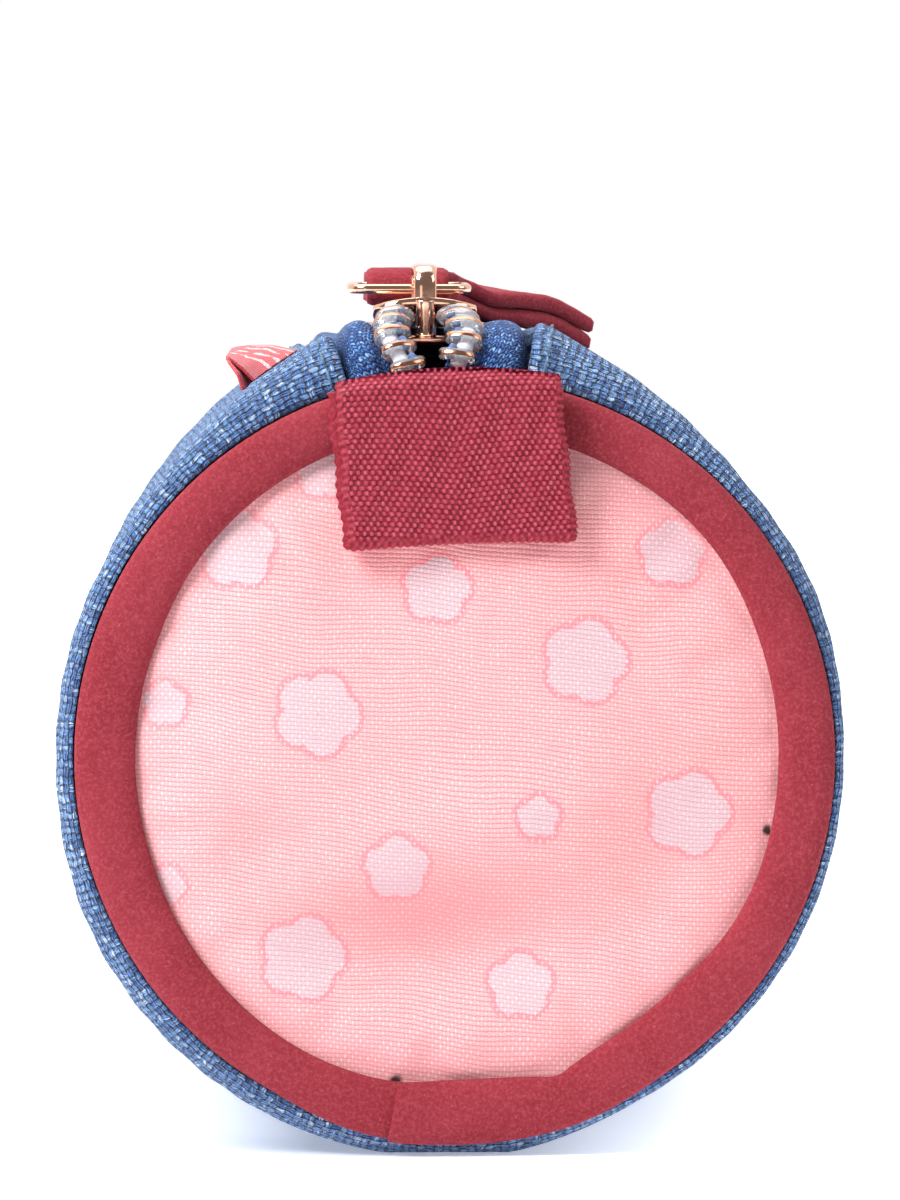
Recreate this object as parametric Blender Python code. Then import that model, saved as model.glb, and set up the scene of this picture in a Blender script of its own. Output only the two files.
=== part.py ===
# Round pencil case lying on its side, with a zip along the top.
# Metres, +Z up. The case's axis runs along Y and the end with the webbing tab faces -Y.
# The origin is the middle of the flat strip that the case rests on.

import math

import bmesh
import bpy
from mathutils import Vector

MM = 0.001

# Fabric body
BODY_LENGTH = 210 * MM  # rim to rim
BODY_DIAMETER = 80 * MM
REST_FLAT_WIDTH = 14 * MM  # flattened strip underneath
WALL = 1.8 * MM
SEAM_INSET = 1.8 * MM  # from the body's outside in to the seam of the end
RIM_ROUNDING = 1.0 * MM
BODY_SEGMENTS = 44

# Folded fabric edges beside the zip
ZIP_OFFSET = 2.7 * MM  # zip's centre line, left of the case's middle
ZIP_OPENING = 20.4 * MM  # between the folded edges
OPENING_OFFSET = 2.0 * MM  # opening's middle, left of the case's middle
FOLD_RISE = 4.1 * MM
FOLD_REACH = 28 * MM  # along the section, over which the fabric rises to the folded edge
FOLD_CURVE = 1.6  # 1 rises evenly, and more rises late and steeply
FOLD_THICKNESS = 2.6 * MM
FOLD_BLEND = 9 * MM  # along the section, from the folded edge to the plain wall

# Round ends
PANEL_THICKNESS = 1.6 * MM
PANEL_DOME = 3.0 * MM
PANEL_DENT = 0.9 * MM
BINDING_WIDTH = 5.6 * MM
BINDING_THICKNESS = 1.5 * MM
END_SEGMENTS = 48

# Zip tape and coil
TAPE_THICKNESS = 0.6 * MM
TAPE_RISE = 2.4 * MM  # underside of the tape above the body's radius
TAPE_HUMP = 0.8 * MM
TAPE_TUCK = 3.0 * MM  # reach under the folded edge
COIL_ROW_WIDTH = 2.6 * MM
COIL_THICKNESS = 1.8 * MM
COIL_OVERHANG = 0.13 * MM  # coil's reach past the tape's edge
COIL_END_TURN = 78  # degrees round the rim where the coil stops
ROW_GAP = 0.3 * MM  # between the two meshed rows
SLIDER_SPREAD = 3.1 * MM  # row's middle from the zip's centre line in the slider's mouth
LOOSE_SPREAD = 4.0 * MM  # and where it hangs free in front of the slider
END_SPREAD = 2.6 * MM  # and at the seam

# Slider
SLIDER_LENGTH = 11.5 * MM
SLIDER_WIDTH = 10.4 * MM
SLIDER_SETBACK = 8 * MM  # from the front rim to the slider's nose
LOWER_PLATE_WIDTH = 9.4 * MM
CLOSING_SHARE = 0.85  # of the slider's length, where the two rows are meshed
PLATE_THICKNESS = 0.85 * MM
PLATE_CROWN = 0.5 * MM
FLANGE_DEPTH = 1.3 * MM
FLANGE_THICKNESS = 0.45 * MM
POST_DIAMETER = 2.8 * MM
POST_SETBACK = 1.6 * MM  # from the slider's nose to the post's middle
POST_SEGMENTS = 14
BRIDGE_WIDTH = 2.5 * MM
BRIDGE_BAR = 0.8 * MM
BRIDGE_LENGTH = 8.4 * MM
BRIDGE_SETBACK = 5.5 * MM  # from the slider's nose to the bridge's middle
BRIDGE_ROOM = 2.1 * MM  # free height under the bridge
BRIDGE_CORNER = 0.95 * MM

# Pull
RING_WIDTH = 12.6 * MM
RING_LENGTH = 10.6 * MM
RING_BAR_WIDTH = 1.3 * MM
RING_BAR_THICKNESS = 1.0 * MM
RING_CORNER = 1.4 * MM
RING_SHIFT = 1.4 * MM  # ring's middle, left of the zip's centre line
STRAP_LENGTH = 26 * MM
STRAP_WIDTH = 10 * MM
STRAP_THICKNESS = 1.3 * MM
STRAP_STEPS = 26

# Webbing tab on the front end
TAB_WIDTH = 24 * MM
TAB_LENGTH = 18.2 * MM
TAB_THICKNESS = 1.2 * MM
TAB_OFFSET = 0.7 * MM  # left of the case's middle
TAB_ARCH = 0.5  # share of the rim's curve that its upper edge follows

# Small folded label
LABEL_WIDTH = 12 * MM
LABEL_REACH = 3.9 * MM
LABEL_THICKNESS = 1.0 * MM
LABEL_SETBACK = 9 * MM  # from the front rim
LABEL_UPPER = -21.5  # degrees from the top where its upper layer leaves the fabric
LABEL_TIP = -29.5
LABEL_LOWER = -31  # and where its lower layer comes back to it

# Pieces lie this far apart where they touch
CLEARANCE = 0.3 * MM
THIN_CLEARANCE = 0.2 * MM  # inside the zip's stack of thin layers

# The body's outline seen from the front, with angles from the top, clockwise
OUTLINE = [
    # angle, share of the radius
    (0, 1.000),
    (30, 1.005),
    (60, 1.000),
    (90, 0.980),
    (120, 0.985),
    (150, 0.985),
    (180, 1.015),
    (210, 1.018),
    (240, 1.015),
    (270, 1.000),
    (300, 1.005),
    (330, 1.005),
]

# Soft body between its stiff ends, where the sides pull in and the top sinks
BODY_SECTIONS = [
    # share of the length, pull of the sides and sink of the top as shares of the wall
    (0.00, 0.0, 0.0),
    (0.10, 0.1, 0.0),
    (0.30, 0.5, 0.3),
    (0.55, 0.7, 0.5),
    (0.80, 0.3, 0.2),
    (1.00, 0.0, 0.0),
]

# Tape's section from the slider's track out to the folded edge
TAPE_SECTION = [
    # share across, share of the hump
    (0.00, 0.0),
    (0.28, 0.8),
    (0.62, 1.0),
    (0.90, 0.4),
]

# Soft dents of the printed end, with lengths as shares of the panel's radius
DENTS = [
    # to the right, up, radius of the dent, share of the dent's depth
    (-0.05, -0.38, 0.34, 1.0),
    (-0.52, -0.46, 0.30, 0.5),
    (0.42, -0.42, 0.26, 0.4),
    (0.10, 0.34, 0.40, -0.3),
]

# Slider seen from above
SLIDER_PLAN = [
    # share of its length from the nose, share of half its width, share of the flange's depth
    (0.00, 0.50, 0.05),
    (0.03, 0.72, 0.05),
    (0.09, 0.90, 0.05),
    (0.17, 1.00, 0.50),
    (0.30, 1.00, 1.00),
    (0.52, 0.90, 1.00),
    (0.80, 0.74, 1.00),
    (1.00, 0.72, 1.00),
]

# Strap's way back from the ring. Height 0 is at the ring, and 1 where it rests on the folded edge
STRAP_PATH = [
    # share of its length, heading in degrees towards +X, height, roll in degrees
    (0.00, 0, 0.00, 0),
    (0.15, 12, 0.02, 2),
    (0.38, 48, 0.34, 3),
    (0.53, 52, 0.60, 9),
    (0.59, 52, 0.62, 9),
    (0.69, 52, 0.85, 4),
    (0.81, 52, 0.96, 6),
    (0.90, 52, 1.26, 9),
    (1.00, 52, 1.60, 15),
]

# Binding's section, from the seam inwards
BINDING_SECTION = [
    # share of the width, share of the thickness
    (0.0, 0.15),
    (0.04, 0.6),
    (0.2, 0.94),
    (0.5, 1.0),
    (0.8, 0.94),
    (0.96, 0.6),
    (1.0, 0.15),
    (0.9, 0.0),
    (0.1, 0.0),
]

RADIUS = BODY_DIAMETER / 2
SEAM_RADIUS = RADIUS - SEAM_INSET
FRONT = -BODY_LENGTH / 2
NOSE = FRONT + SLIDER_SETBACK
BEND_STEPS = [90, 66, 42, 20, 0]  # degrees, from the seam up to the straight run


def smooth(share):
    share = min(max(share, 0.0), 1.0)
    return share * share * (3 - 2 * share)


def read_table(rows, place):
    """Row of values at a place in the first column, eased between the rows."""
    if place <= rows[0][0]:
        return rows[0][1:]
    for low, high in zip(rows, rows[1:]):
        if place <= high[0]:
            share = smooth((place - low[0]) / (high[0] - low[0]))
            return [a + (b - a) * share for a, b in zip(low[1:], high[1:])]
    return rows[-1][1:]


# Section of the body, as a width and a height from its axis


def outline_radius(angle):
    """Body's radius without the folded edges, at an angle in radians from the top, clockwise."""
    turn = math.degrees(angle) % 360
    return RADIUS * read_table(OUTLINE + [(360, OUTLINE[0][1])], turn)[0]


def fold_angle(side):
    """Angle of the folded edge on the left (-1) or right (1) of the zip."""
    across = side * ZIP_OPENING / 2 - OPENING_OFFSET
    return math.asin(across / (RADIUS + FOLD_RISE))


AXIS_HEIGHT = math.sqrt(outline_radius(math.pi) ** 2 - (REST_FLAT_WIDTH / 2) ** 2)


def from_fold(angle):
    """Distance along the section from the nearer folded edge."""
    turn = math.remainder(angle, 2 * math.pi)
    right, left = fold_angle(1), fold_angle(-1)
    return RADIUS * (turn - right if turn > 0 else left - turn)


def outer_radius(angle):
    rise = max(0.0, 1 - from_fold(angle) / FOLD_REACH) ** FOLD_CURVE
    return outline_radius(angle) + FOLD_RISE * min(rise, 1.0)


def wall_at(angle):
    share = smooth(1 - from_fold(angle) / FOLD_BLEND)
    return WALL + (FOLD_THICKNESS - WALL) * share


def body_angles():
    """Angles of the section's points, with the ends of the flat strip among them."""
    start, end = fold_angle(1), 2 * math.pi + fold_angle(-1)
    flat = math.asin(REST_FLAT_WIDTH / 2 / outline_radius(math.pi))
    near = [share * FOLD_BLEND / RADIUS for share in (0.0, 0.08, 0.35)]
    first, last = start + near[-1], end - near[-1]
    half = BODY_SEGMENTS // 2
    right = [first + (math.pi - flat - first) * i / half for i in range(1, half + 1)]
    left = [math.pi + flat + (last - math.pi - flat) * i / half for i in range(half)]
    opening = [start + step for step in near]
    under = [math.pi - flat / 3, math.pi + flat / 3]
    closing = [end - step for step in reversed(near)]
    return opening + right + under + left + closing


def bend_over(across, height, degrees, reference, end):
    """Point of the section taken round the rim at one end (-1 front, 1 back).

    At 0 degrees it is on the straight run, and at 90 it meets the seam. Layers under the
    reference radius stay nested below it.
    """
    radius = math.hypot(across, height)
    turn = math.radians(degrees)
    start = BODY_LENGTH / 2 - (reference - SEAM_RADIUS + RIM_ROUNDING)
    out = SEAM_RADIUS + (radius - SEAM_RADIUS) * math.cos(turn)
    along = start + (radius - SEAM_RADIUS + RIM_ROUNDING) * math.sin(turn)
    share = out / radius
    return Vector((across * share, end * along, AXIS_HEIGHT + height * share))


RIDGE_RADIUS = outer_radius(fold_angle(1))
TAPE_LEVEL = RADIUS + TAPE_RISE
COIL_LEVEL = TAPE_LEVEL + TAPE_THICKNESS + THIN_CLEARANCE
COIL_TOP = COIL_LEVEL + COIL_THICKNESS
ZIP_RUN = BODY_LENGTH / 2 - (RIDGE_RADIUS - SEAM_RADIUS + RIM_ROUNDING)


# Meshes


def place_object(name, data, location=(0, 0, 0), parent=None):
    placed = bpy.data.objects.new(name, data)
    placed.location = location
    placed.parent = parent
    bpy.context.scene.collection.objects.link(placed)
    return placed


def make_mesh(name, points, faces, material):
    mesh = bpy.data.meshes.new(name)
    shape = bmesh.new()
    made = [shape.verts.new(point) for point in points]
    for face in faces:
        shape.faces.new([made[i] for i in face])
    bmesh.ops.recalc_face_normals(shape, faces=shape.faces[:])
    shape.to_mesh(mesh)
    shape.free()
    mesh.shade_smooth()
    mesh.set_sharp_from_angle(angle=math.radians(40))
    mesh.materials.append(material)
    return mesh


def add_material(name, colour, roughness, metallic=0.0):
    material = bpy.data.materials.new(name)
    material.use_nodes = True
    shader = material.node_tree.nodes["Principled BSDF"]
    shader.inputs["Base Color"].default_value = (*colour, 1)
    shader.inputs["Roughness"].default_value = roughness
    shader.inputs["Metallic"].default_value = metallic
    material.diffuse_color = (*colour, 1)
    return material


def sheet_mesh(upper, lower):
    """Points and faces of a thick sheet between two grids of the same size."""
    rows, columns = len(upper), len(upper[0])
    points = [point for row in upper for point in row] + [point for row in lower for point in row]
    under = rows * columns

    def at(row, column, side):
        return side * under + row * columns + column

    faces = []
    for row in range(rows - 1):
        for column in range(columns - 1):
            corners = [(row, column), (row + 1, column), (row + 1, column + 1), (row, column + 1)]
            faces.append([at(r, c, 0) for r, c in corners])
            faces.append([at(r, c, 1) for r, c in reversed(corners)])
    rim = [(0, column) for column in range(columns)]
    rim += [(row, columns - 1) for row in range(1, rows)]
    rim += [(rows - 1, column) for column in range(columns - 2, -1, -1)]
    rim += [(row, 0) for row in range(rows - 2, 0, -1)]
    for here, there in zip(rim, rim[1:] + rim[:1]):
        faces.append([at(*here, 0), at(*there, 0), at(*there, 1), at(*here, 1)])
    return points, faces


def loft_mesh(rings, closed=False):
    """Points and faces through equal rings, capped, or joined end to end where closed."""
    size = len(rings[0])
    points = [point for ring in rings for point in ring]
    pairs = list(zip(range(len(rings) - 1), range(1, len(rings))))
    if closed:
        pairs.append((len(rings) - 1, 0))
    faces = []
    for here, there in pairs:
        for i in range(size):
            j = (i + 1) % size
            faces.append([here * size + i, here * size + j, there * size + j, there * size + i])
    if not closed:
        faces.append(list(range(size)))
        faces.append([(len(rings) - 1) * size + i for i in range(size)])
    return points, faces


def offset_line(line, distance):
    """Flat line of (across, height) points moved sideways by a distance."""
    moved = []
    for i, (across, height) in enumerate(line):
        before, after = line[max(i - 1, 0)], line[min(i + 1, len(line) - 1)]
        run, rise = after[0] - before[0], after[1] - before[1]
        length = math.hypot(run, rise)
        moved.append((across - rise / length * distance, height + run / length * distance))
    return moved


# Fabric body and its ends


def soft_section(along, across, height):
    """Point of the section with the body's slack between its ends."""
    pull, sink = read_table(BODY_SECTIONS, along)
    radius = math.hypot(across, height)
    sideways = (across / radius) ** 2
    top = max(height / radius, 0) ** 4
    change = -WALL * (pull * sideways + sink * top)
    share = (radius + change) / radius
    return across * share, height * share


def make_body(material):
    angles = body_angles()
    last = len(angles) - 1
    outer, inner = [], []

    def station(point_at):
        rows = ([], [])
        for i, angle in enumerate(angles):
            radius, wall = outer_radius(angle), wall_at(angle)
            edge = wall * 0.25 if i in (0, last) else 0
            for row, depth in zip(rows, (edge, wall - edge)):
                height = (radius - depth) * math.cos(angle)
                height = max(height, depth - AXIS_HEIGHT)
                row.append(point_at((radius - depth) * math.sin(angle), height, radius))
        outer.append(rows[0])
        inner.append(rows[1])

    for degrees in BEND_STEPS:
        station(lambda x, h, reference: bend_over(x, h, degrees, reference, -1))
    for along in [row[0] for row in BODY_SECTIONS[1:-1]]:

        def straight(x, h, reference):
            start = BODY_LENGTH / 2 - (reference - SEAM_RADIUS + RIM_ROUNDING)
            x, h = soft_section(along, x, h)
            return Vector((x, start * (2 * along - 1), AXIS_HEIGHT + h))

        station(straight)
    for degrees in reversed(BEND_STEPS):
        station(lambda x, h, reference: bend_over(x, h, degrees, reference, 1))
    mesh = make_mesh("body_shell", *sheet_mesh(outer, inner), material)
    return place_object("body_shell", mesh)


def panel_mesh(material):
    """Printed round end, facing -Y: flat under the binding, domed inside it, with soft dents."""
    radius = SEAM_RADIUS - CLEARANCE
    free = radius - BINDING_WIDTH
    shares = [0.14, 0.34, 0.54, 0.74, 0.9]
    rings = [free * share for share in shares] + [free, radius]

    def depth(across, height):
        out = math.hypot(across, height)
        bulge = PANEL_DOME * max(0.0, 1 - (out / free) ** 2)
        for right, up, size, share in DENTS:
            away = math.hypot(across - right * free, height - up * free) / (size * free)
            fade = smooth((1 - out / free) / 0.25)
            bulge -= share * PANEL_DENT * math.exp(-away * away * 2) * fade
        return bulge

    points, faces = [], []
    for inward in (0.0, PANEL_THICKNESS):
        points.append(Vector((0, inward - depth(0, 0), 0)))
        for out in rings:
            for i in range(END_SEGMENTS):
                turn = 2 * math.pi * i / END_SEGMENTS
                across, height = out * math.sin(turn), out * math.cos(turn)
                points.append(Vector((across, inward - depth(across, height), height)))
    side = 1 + len(rings) * END_SEGMENTS
    for base in (0, side):
        for i in range(END_SEGMENTS):
            j = (i + 1) % END_SEGMENTS
            faces.append([base, base + 1 + i, base + 1 + j])
            for ring in range(len(rings) - 1):
                low = base + 1 + ring * END_SEGMENTS
                high = low + END_SEGMENTS
                faces.append([low + i, high + i, high + j, low + j])
    rim = 1 + (len(rings) - 1) * END_SEGMENTS
    for i in range(END_SEGMENTS):
        j = (i + 1) % END_SEGMENTS
        faces.append([rim + i, rim + j, side + rim + j, side + rim + i])
    return make_mesh("end_panel", points, faces, material)


def binding_mesh(material):
    """Binding sewn over the seam of an end, facing -Y: a flat band with rounded edges."""
    outside = SEAM_RADIUS - CLEARANCE / 2
    rings = []
    for i in range(END_SEGMENTS):
        turn = 2 * math.pi * i / END_SEGMENTS
        ring = []
        for inward, proud in BINDING_SECTION:
            out = outside - inward * BINDING_WIDTH
            along = CLEARANCE + proud * BINDING_THICKNESS
            ring.append(Vector((out * math.sin(turn), -along, out * math.cos(turn))))
        rings.append(ring)
    return make_mesh("end_binding", *loft_mesh(rings, closed=True), material)


def make_ends(print_material, binding_material):
    """The two round ends share their meshes, and the back one faces the other way."""
    panel, binding = panel_mesh(print_material), binding_mesh(binding_material)
    for end, along, turn in (("front", FRONT, 0), ("back", -FRONT, math.pi)):
        for kind, mesh in (("panel", panel), ("binding", binding)):
            piece = place_object(f"{end}_{kind}", mesh, (0, along, AXIS_HEIGHT))
            piece.rotation_euler.z = turn


# Zip


def row_spread(along, degrees):
    """Distance of a coil row's middle from the zip's centre line.

    along is the place on the straight run, and degrees the turn over the front rim.
    """
    meshed = (COIL_ROW_WIDTH + ROW_GAP) / 2
    if degrees > 0:
        if degrees < 45:
            return SLIDER_SPREAD + (LOOSE_SPREAD - SLIDER_SPREAD) * smooth(degrees / 45)
        return LOOSE_SPREAD + (END_SPREAD - LOOSE_SPREAD) * smooth((degrees - 45) / 45)
    parted = NOSE + POST_SETBACK + POST_DIAMETER / 2 + CLEARANCE
    closed = NOSE + SLIDER_LENGTH * CLOSING_SHARE
    share = smooth((along - parted) / (closed - parted))
    return SLIDER_SPREAD + (meshed - SLIDER_SPREAD) * share


def zip_stations(first):
    """Places along the zip as (turn over the rim, end, place on the straight run)."""
    bends = [step for step in BEND_STEPS if step <= first]
    if bends[0] != first:
        bends.insert(0, first)
    places = [NOSE + SLIDER_LENGTH * share for share in (0.3, 0.5, 0.7, 0.9)]
    places += [ZIP_RUN * (2 * row[0] - 1) for row in BODY_SECTIONS[1:-1]]
    stations = [(degrees, -1, -ZIP_RUN) for degrees in bends]
    stations += [(0, 0, place) for place in places]
    stations += [(degrees, 1, ZIP_RUN) for degrees in reversed(bends)]
    return stations


def zip_point(across, height, station):
    """Point beside the zip, across from its centre line and at a height over the body's axis."""
    degrees, end, along = station
    across -= ZIP_OFFSET
    if end:
        return bend_over(across, height, degrees, RIDGE_RADIUS, end)
    share = (along + ZIP_RUN) / (2 * ZIP_RUN)
    across, height = soft_section(share, across, height)
    return Vector((across, along, AXIS_HEIGHT + height))


def spread_at(station):
    degrees, end, along = station
    return row_spread(along, degrees if end < 0 else 0)


def make_tape(name, side, material):
    """Zip tape: under the coil, up over a hump, and tucked below the folded edge."""
    top, bottom = [], []
    lip = RIDGE_RADIUS - FOLD_THICKNESS
    outside = side * (lip * math.sin(fold_angle(side)) + ZIP_OFFSET) - CLEARANCE - TAPE_THICKNESS
    below_lip = lip * math.cos(fold_angle(side)) - CLEARANCE - TAPE_THICKNESS
    track = SLIDER_WIDTH / 2 + CLEARANCE
    for station in zip_stations(90):
        line = [(spread_at(station) - COIL_ROW_WIDTH / 2 + COIL_OVERHANG, TAPE_LEVEL)]
        for share, lift in TAPE_SECTION:
            line.append((track + (outside - track) * share, TAPE_LEVEL + lift * TAPE_HUMP))
        line.append((outside, (TAPE_LEVEL + below_lip) / 2))
        line.append((outside + TAPE_THICKNESS * 0.3, below_lip))
        away = side * (outside + TAPE_TUCK) - ZIP_OFFSET
        angle = math.asin(away / lip)
        tucked = outer_radius(angle) - wall_at(angle) - CLEARANCE - TAPE_THICKNESS
        line.append((outside + TAPE_TUCK, math.sqrt(tucked**2 - away**2)))
        over = offset_line(line, TAPE_THICKNESS)
        top.append([zip_point(side * x, h, station) for x, h in over])
        bottom.append([zip_point(side * x, h, station) for x, h in line])
    return place_object(name, make_mesh(name, *sheet_mesh(top, bottom), material))


def make_coil(name, side, material):
    """One row of the zip's coil as a bar of its outer shape."""
    # share of the width across the row, and share of the thickness
    section = [(-0.5, 0.3), (-0.5, 0.7), (-0.28, 1), (0.28, 1), (0.5, 0.7), (0.5, 0.3)]
    section += [(0.28, 0), (-0.28, 0)]
    rings = []
    for station in zip_stations(COIL_END_TURN):
        middle = spread_at(station)
        ring = []
        for sideways, up in section:
            across = side * (middle + sideways * COIL_ROW_WIDTH)
            ring.append(zip_point(across, COIL_LEVEL + up * COIL_THICKNESS, station))
        rings.append(ring)
    return place_object(name, make_mesh(name, *loft_mesh(rings), material))


# Slider and pull, each built about its own origin. The slider's is under its nose on the zip's
# centre line, level with the body's axis, and the pull's is on the line that it turns about

PLATE_UNDERSIDE = COIL_TOP + THIN_CLEARANCE
PLATE_TOP = PLATE_UNDERSIDE + PLATE_THICKNESS
# the ring's near bar turns on this line, just clear of the plate at every angle
RING_BAR_REACH = math.hypot(RING_BAR_WIDTH * 0.5, RING_BAR_THICKNESS * 0.25)
RING_LEVEL = PLATE_TOP + RING_BAR_REACH + THIN_CLEARANCE
# and its far bar is lifted by the strap's lower leg, which lies on the coil
FAR_ROOM = RING_BAR_THICKNESS / 2 + THIN_CLEARANCE
FAR_LIFT = COIL_TOP + CLEARANCE + STRAP_THICKNESS + FAR_ROOM - RING_LEVEL
FAR_BAR = RING_LENGTH - RING_BAR_WIDTH
SLIDER_PLACE = Vector((-ZIP_OFFSET, NOSE, AXIS_HEIGHT))
PULL_PLACE = SLIDER_PLACE + Vector((0, BRIDGE_SETBACK, RING_LEVEL))


def slider_piece(name, mesh_parts, material):
    return place_object(name, make_mesh(name, *mesh_parts, material), SLIDER_PLACE)


def make_top_plate(material):
    half = SLIDER_WIDTH / 2
    rings = []
    for place, width, flange in SLIDER_PLAN:
        edge = half * width
        inside = edge - FLANGE_THICKNESS
        hem = PLATE_UNDERSIDE - flange * FLANGE_DEPTH
        curve = [1.0, 0.75, 0.4, 0.0, -0.4, -0.75, -1.0]
        ring = [(edge, hem)]
        ring += [(edge * s, PLATE_TOP - PLATE_CROWN * (s * width) ** 2) for s in curve]
        ring += [(-edge, hem), (-inside, hem)]
        ring += [(inside * s, PLATE_UNDERSIDE) for s in reversed(curve)]
        ring += [(inside, hem)]
        rings.append([Vector((x, SLIDER_LENGTH * place, h)) for x, h in ring])
    return slider_piece("slider", loft_mesh(rings), material)


def make_lower_plate(material):
    top = TAPE_LEVEL - THIN_CLEARANCE
    rings = []
    for place, width, _ in SLIDER_PLAN:
        edge = LOWER_PLATE_WIDTH / 2 * width
        ring = [(edge, 0.3), (edge * 0.9, 1), (-edge * 0.9, 1), (-edge, 0.3)]
        ring += [(-edge * 0.85, 0), (edge * 0.85, 0)]
        level = [(x, top - PLATE_THICKNESS * (1 - up)) for x, up in ring]
        rings.append([Vector((x, SLIDER_LENGTH * place, h)) for x, h in level])
    return slider_piece("slider_lower_plate", loft_mesh(rings), material)


def make_post(material):
    radius = POST_DIAMETER / 2
    low = TAPE_LEVEL - THIN_CLEARANCE - PLATE_THICKNESS / 2
    high = PLATE_UNDERSIDE + PLATE_THICKNESS / 2
    rings = []
    for height in (low, high):
        ring = []
        for i in range(POST_SEGMENTS):
            turn = 2 * math.pi * i / POST_SEGMENTS
            along = POST_SETBACK - radius * math.cos(turn)
            ring.append(Vector((radius * math.sin(turn), along, height)))
        rings.append(ring)
    return slider_piece("slider_post", loft_mesh(rings), material)


def make_bridge(material):
    """Bar that arches over the plate and leaves room for the ring."""
    half, bar, corner = BRIDGE_WIDTH / 2, BRIDGE_BAR, BRIDGE_CORNER
    run = BRIDGE_LENGTH / 2
    foot = PLATE_UNDERSIDE + PLATE_THICKNESS * 0.4
    roof = PLATE_TOP + BRIDGE_ROOM
    line = [(-run, foot), (-run, roof - corner), (-run + corner * 0.3, roof - corner * 0.3)]
    line += [(-run + corner, roof), (0, roof + bar * 0.25)]
    line += [(-along, height) for along, height in reversed(line[:-1])]
    outer = offset_line(line, bar)
    across = [-1.0, -0.8, 0.8, 1.0]
    upper, lower = [], []
    for (near, low), (far, high) in zip(line, outer):
        upper.append([])
        lower.append([])
        for share in across:
            soft = 0.2 if abs(share) == 1 else 0.0
            along, height = far + (near - far) * soft, high + (low - high) * soft
            upper[-1].append(Vector((half * share, BRIDGE_SETBACK + along, height)))
            along, height = near + (far - near) * soft, low + (high - low) * soft
            lower[-1].append(Vector((half * share, BRIDGE_SETBACK + along, height)))
    return slider_piece("slider_bridge", sheet_mesh(upper, lower), material)


def make_slider(material):
    slider = make_top_plate(material)
    for piece in (make_post(material), make_lower_plate(material), make_bridge(material)):
        piece.hide_render = True
        piece.display_type = "WIRE"
        joining = slider.modifiers.new("join " + piece.name, "BOOLEAN")
        joining.operation = "UNION"
        joining.object = piece
    return slider


def make_ring(material, axis):
    """Flat ring: its near bar lies under the bridge, its far bar carries the strap."""
    corner = RING_CORNER
    half = (RING_WIDTH - RING_BAR_WIDTH) / 2 - corner
    centres = [
        (half, corner, 270),
        (half, FAR_BAR - corner, 0),
        (-half, FAR_BAR - corner, 90),
        (-half, corner, 180),
    ]
    # share of the bar's width and of its thickness, going round the bar
    section = [(0.5, 0.25), (0.25, 0.5), (-0.25, 0.5), (-0.5, 0.25)]
    section += [(-0.5, -0.25), (-0.25, -0.5), (0.25, -0.5), (0.5, -0.25)]
    rings = []
    for across, along, start in centres:
        for step in range(5):
            turn = math.radians(start + 22.5 * step)
            ring = []
            for out, up in section:
                radius = corner + out * RING_BAR_WIDTH
                x = across - RING_SHIFT + radius * math.cos(turn)
                y = along + radius * math.sin(turn)
                lift = FAR_LIFT * y / FAR_BAR
                ring.append(Vector((x, y, lift + up * RING_BAR_THICKNESS)))
            rings.append(ring)
    mesh = make_mesh("pull_ring", *loft_mesh(rings, closed=True), material)
    return place_object("pull_ring", mesh, parent=axis)


def strap_stations():
    """Middle plane of the strap as (along, point, side, up, width) from the far bar to the end."""
    x, y = -RING_SHIFT, FAR_BAR
    rest = RIDGE_RADIUS * math.cos(fold_angle(1)) - RING_LEVEL
    rest += CLEARANCE + STRAP_THICKNESS + CLEARANCE / 2
    inside_ring = RING_WIDTH - 2 * RING_BAR_WIDTH - 1.2 * RING_CORNER
    stations = []
    for i in range(STRAP_STEPS + 1):
        along = i / STRAP_STEPS
        heading, lowered, roll = read_table(STRAP_PATH, along)
        turn, tilt = math.radians(heading), math.radians(roll)
        if i:
            x += STRAP_LENGTH / STRAP_STEPS * math.sin(turn)
            y += STRAP_LENGTH / STRAP_STEPS * math.cos(turn)
        height = FAR_LIFT + (rest - FAR_LIFT) * lowered
        level = Vector((math.cos(turn), -math.sin(turn), 0))
        side = level * math.cos(tilt) - Vector((0, 0, math.sin(tilt)))
        up = level * math.sin(tilt) + Vector((0, 0, math.cos(tilt)))
        width = inside_ring + (STRAP_WIDTH - inside_ring) * smooth((along - 0.05) / 0.12)
        stations.append((along * STRAP_LENGTH, Vector((x, y, height)), side, up, width))
    return stations


def make_strap(material, axis):
    """Suede pull folded round the ring's far bar, its two legs lying back over the zip."""
    every = strap_stations()
    centre = every[0]
    turns = [90 + 30 * step for step in range(7)]

    def leg(way, inside):
        rows = []
        for along, point, side, up, width in every[2::2]:
            parted = 1 - smooth(along / (FAR_ROOM * 6))
            apart = CLEARANCE / 2 + (FAR_ROOM - CLEARANCE / 2) * parted
            away = apart if inside else apart + STRAP_THICKNESS
            rows.append((point + up * (way * away), side, width))
        return rows

    def nose(inside):
        rows = []
        extra = 0 if inside else STRAP_THICKNESS
        for turn in turns:
            back = (RING_BAR_WIDTH / 2 + CLEARANCE + extra) * math.cos(math.radians(turn))
            up = (FAR_ROOM + extra) * math.sin(math.radians(turn))
            rows.append((centre[1] + Vector((0, back, up)), centre[2], centre[4]))
        return rows

    grids = []
    for inside in (False, True):
        rows = list(reversed(leg(1, inside))) + nose(inside) + leg(-1, inside)
        across = (-0.5, -0.46, 0.46, 0.5)
        grids.append([[p + s * (w * share) for share in across] for p, s, w in rows])
    outer, inner = grids
    for row, under in zip(outer, inner):
        for i in (0, 3):
            soft = (under[i] - row[i]) * 0.2
            row[i] = row[i] + soft
            under[i] = under[i] - soft
    mesh = make_mesh("pull_strap", *sheet_mesh(outer, inner), material)
    return place_object("pull_strap", mesh, parent=axis)


# Tab and label


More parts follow.
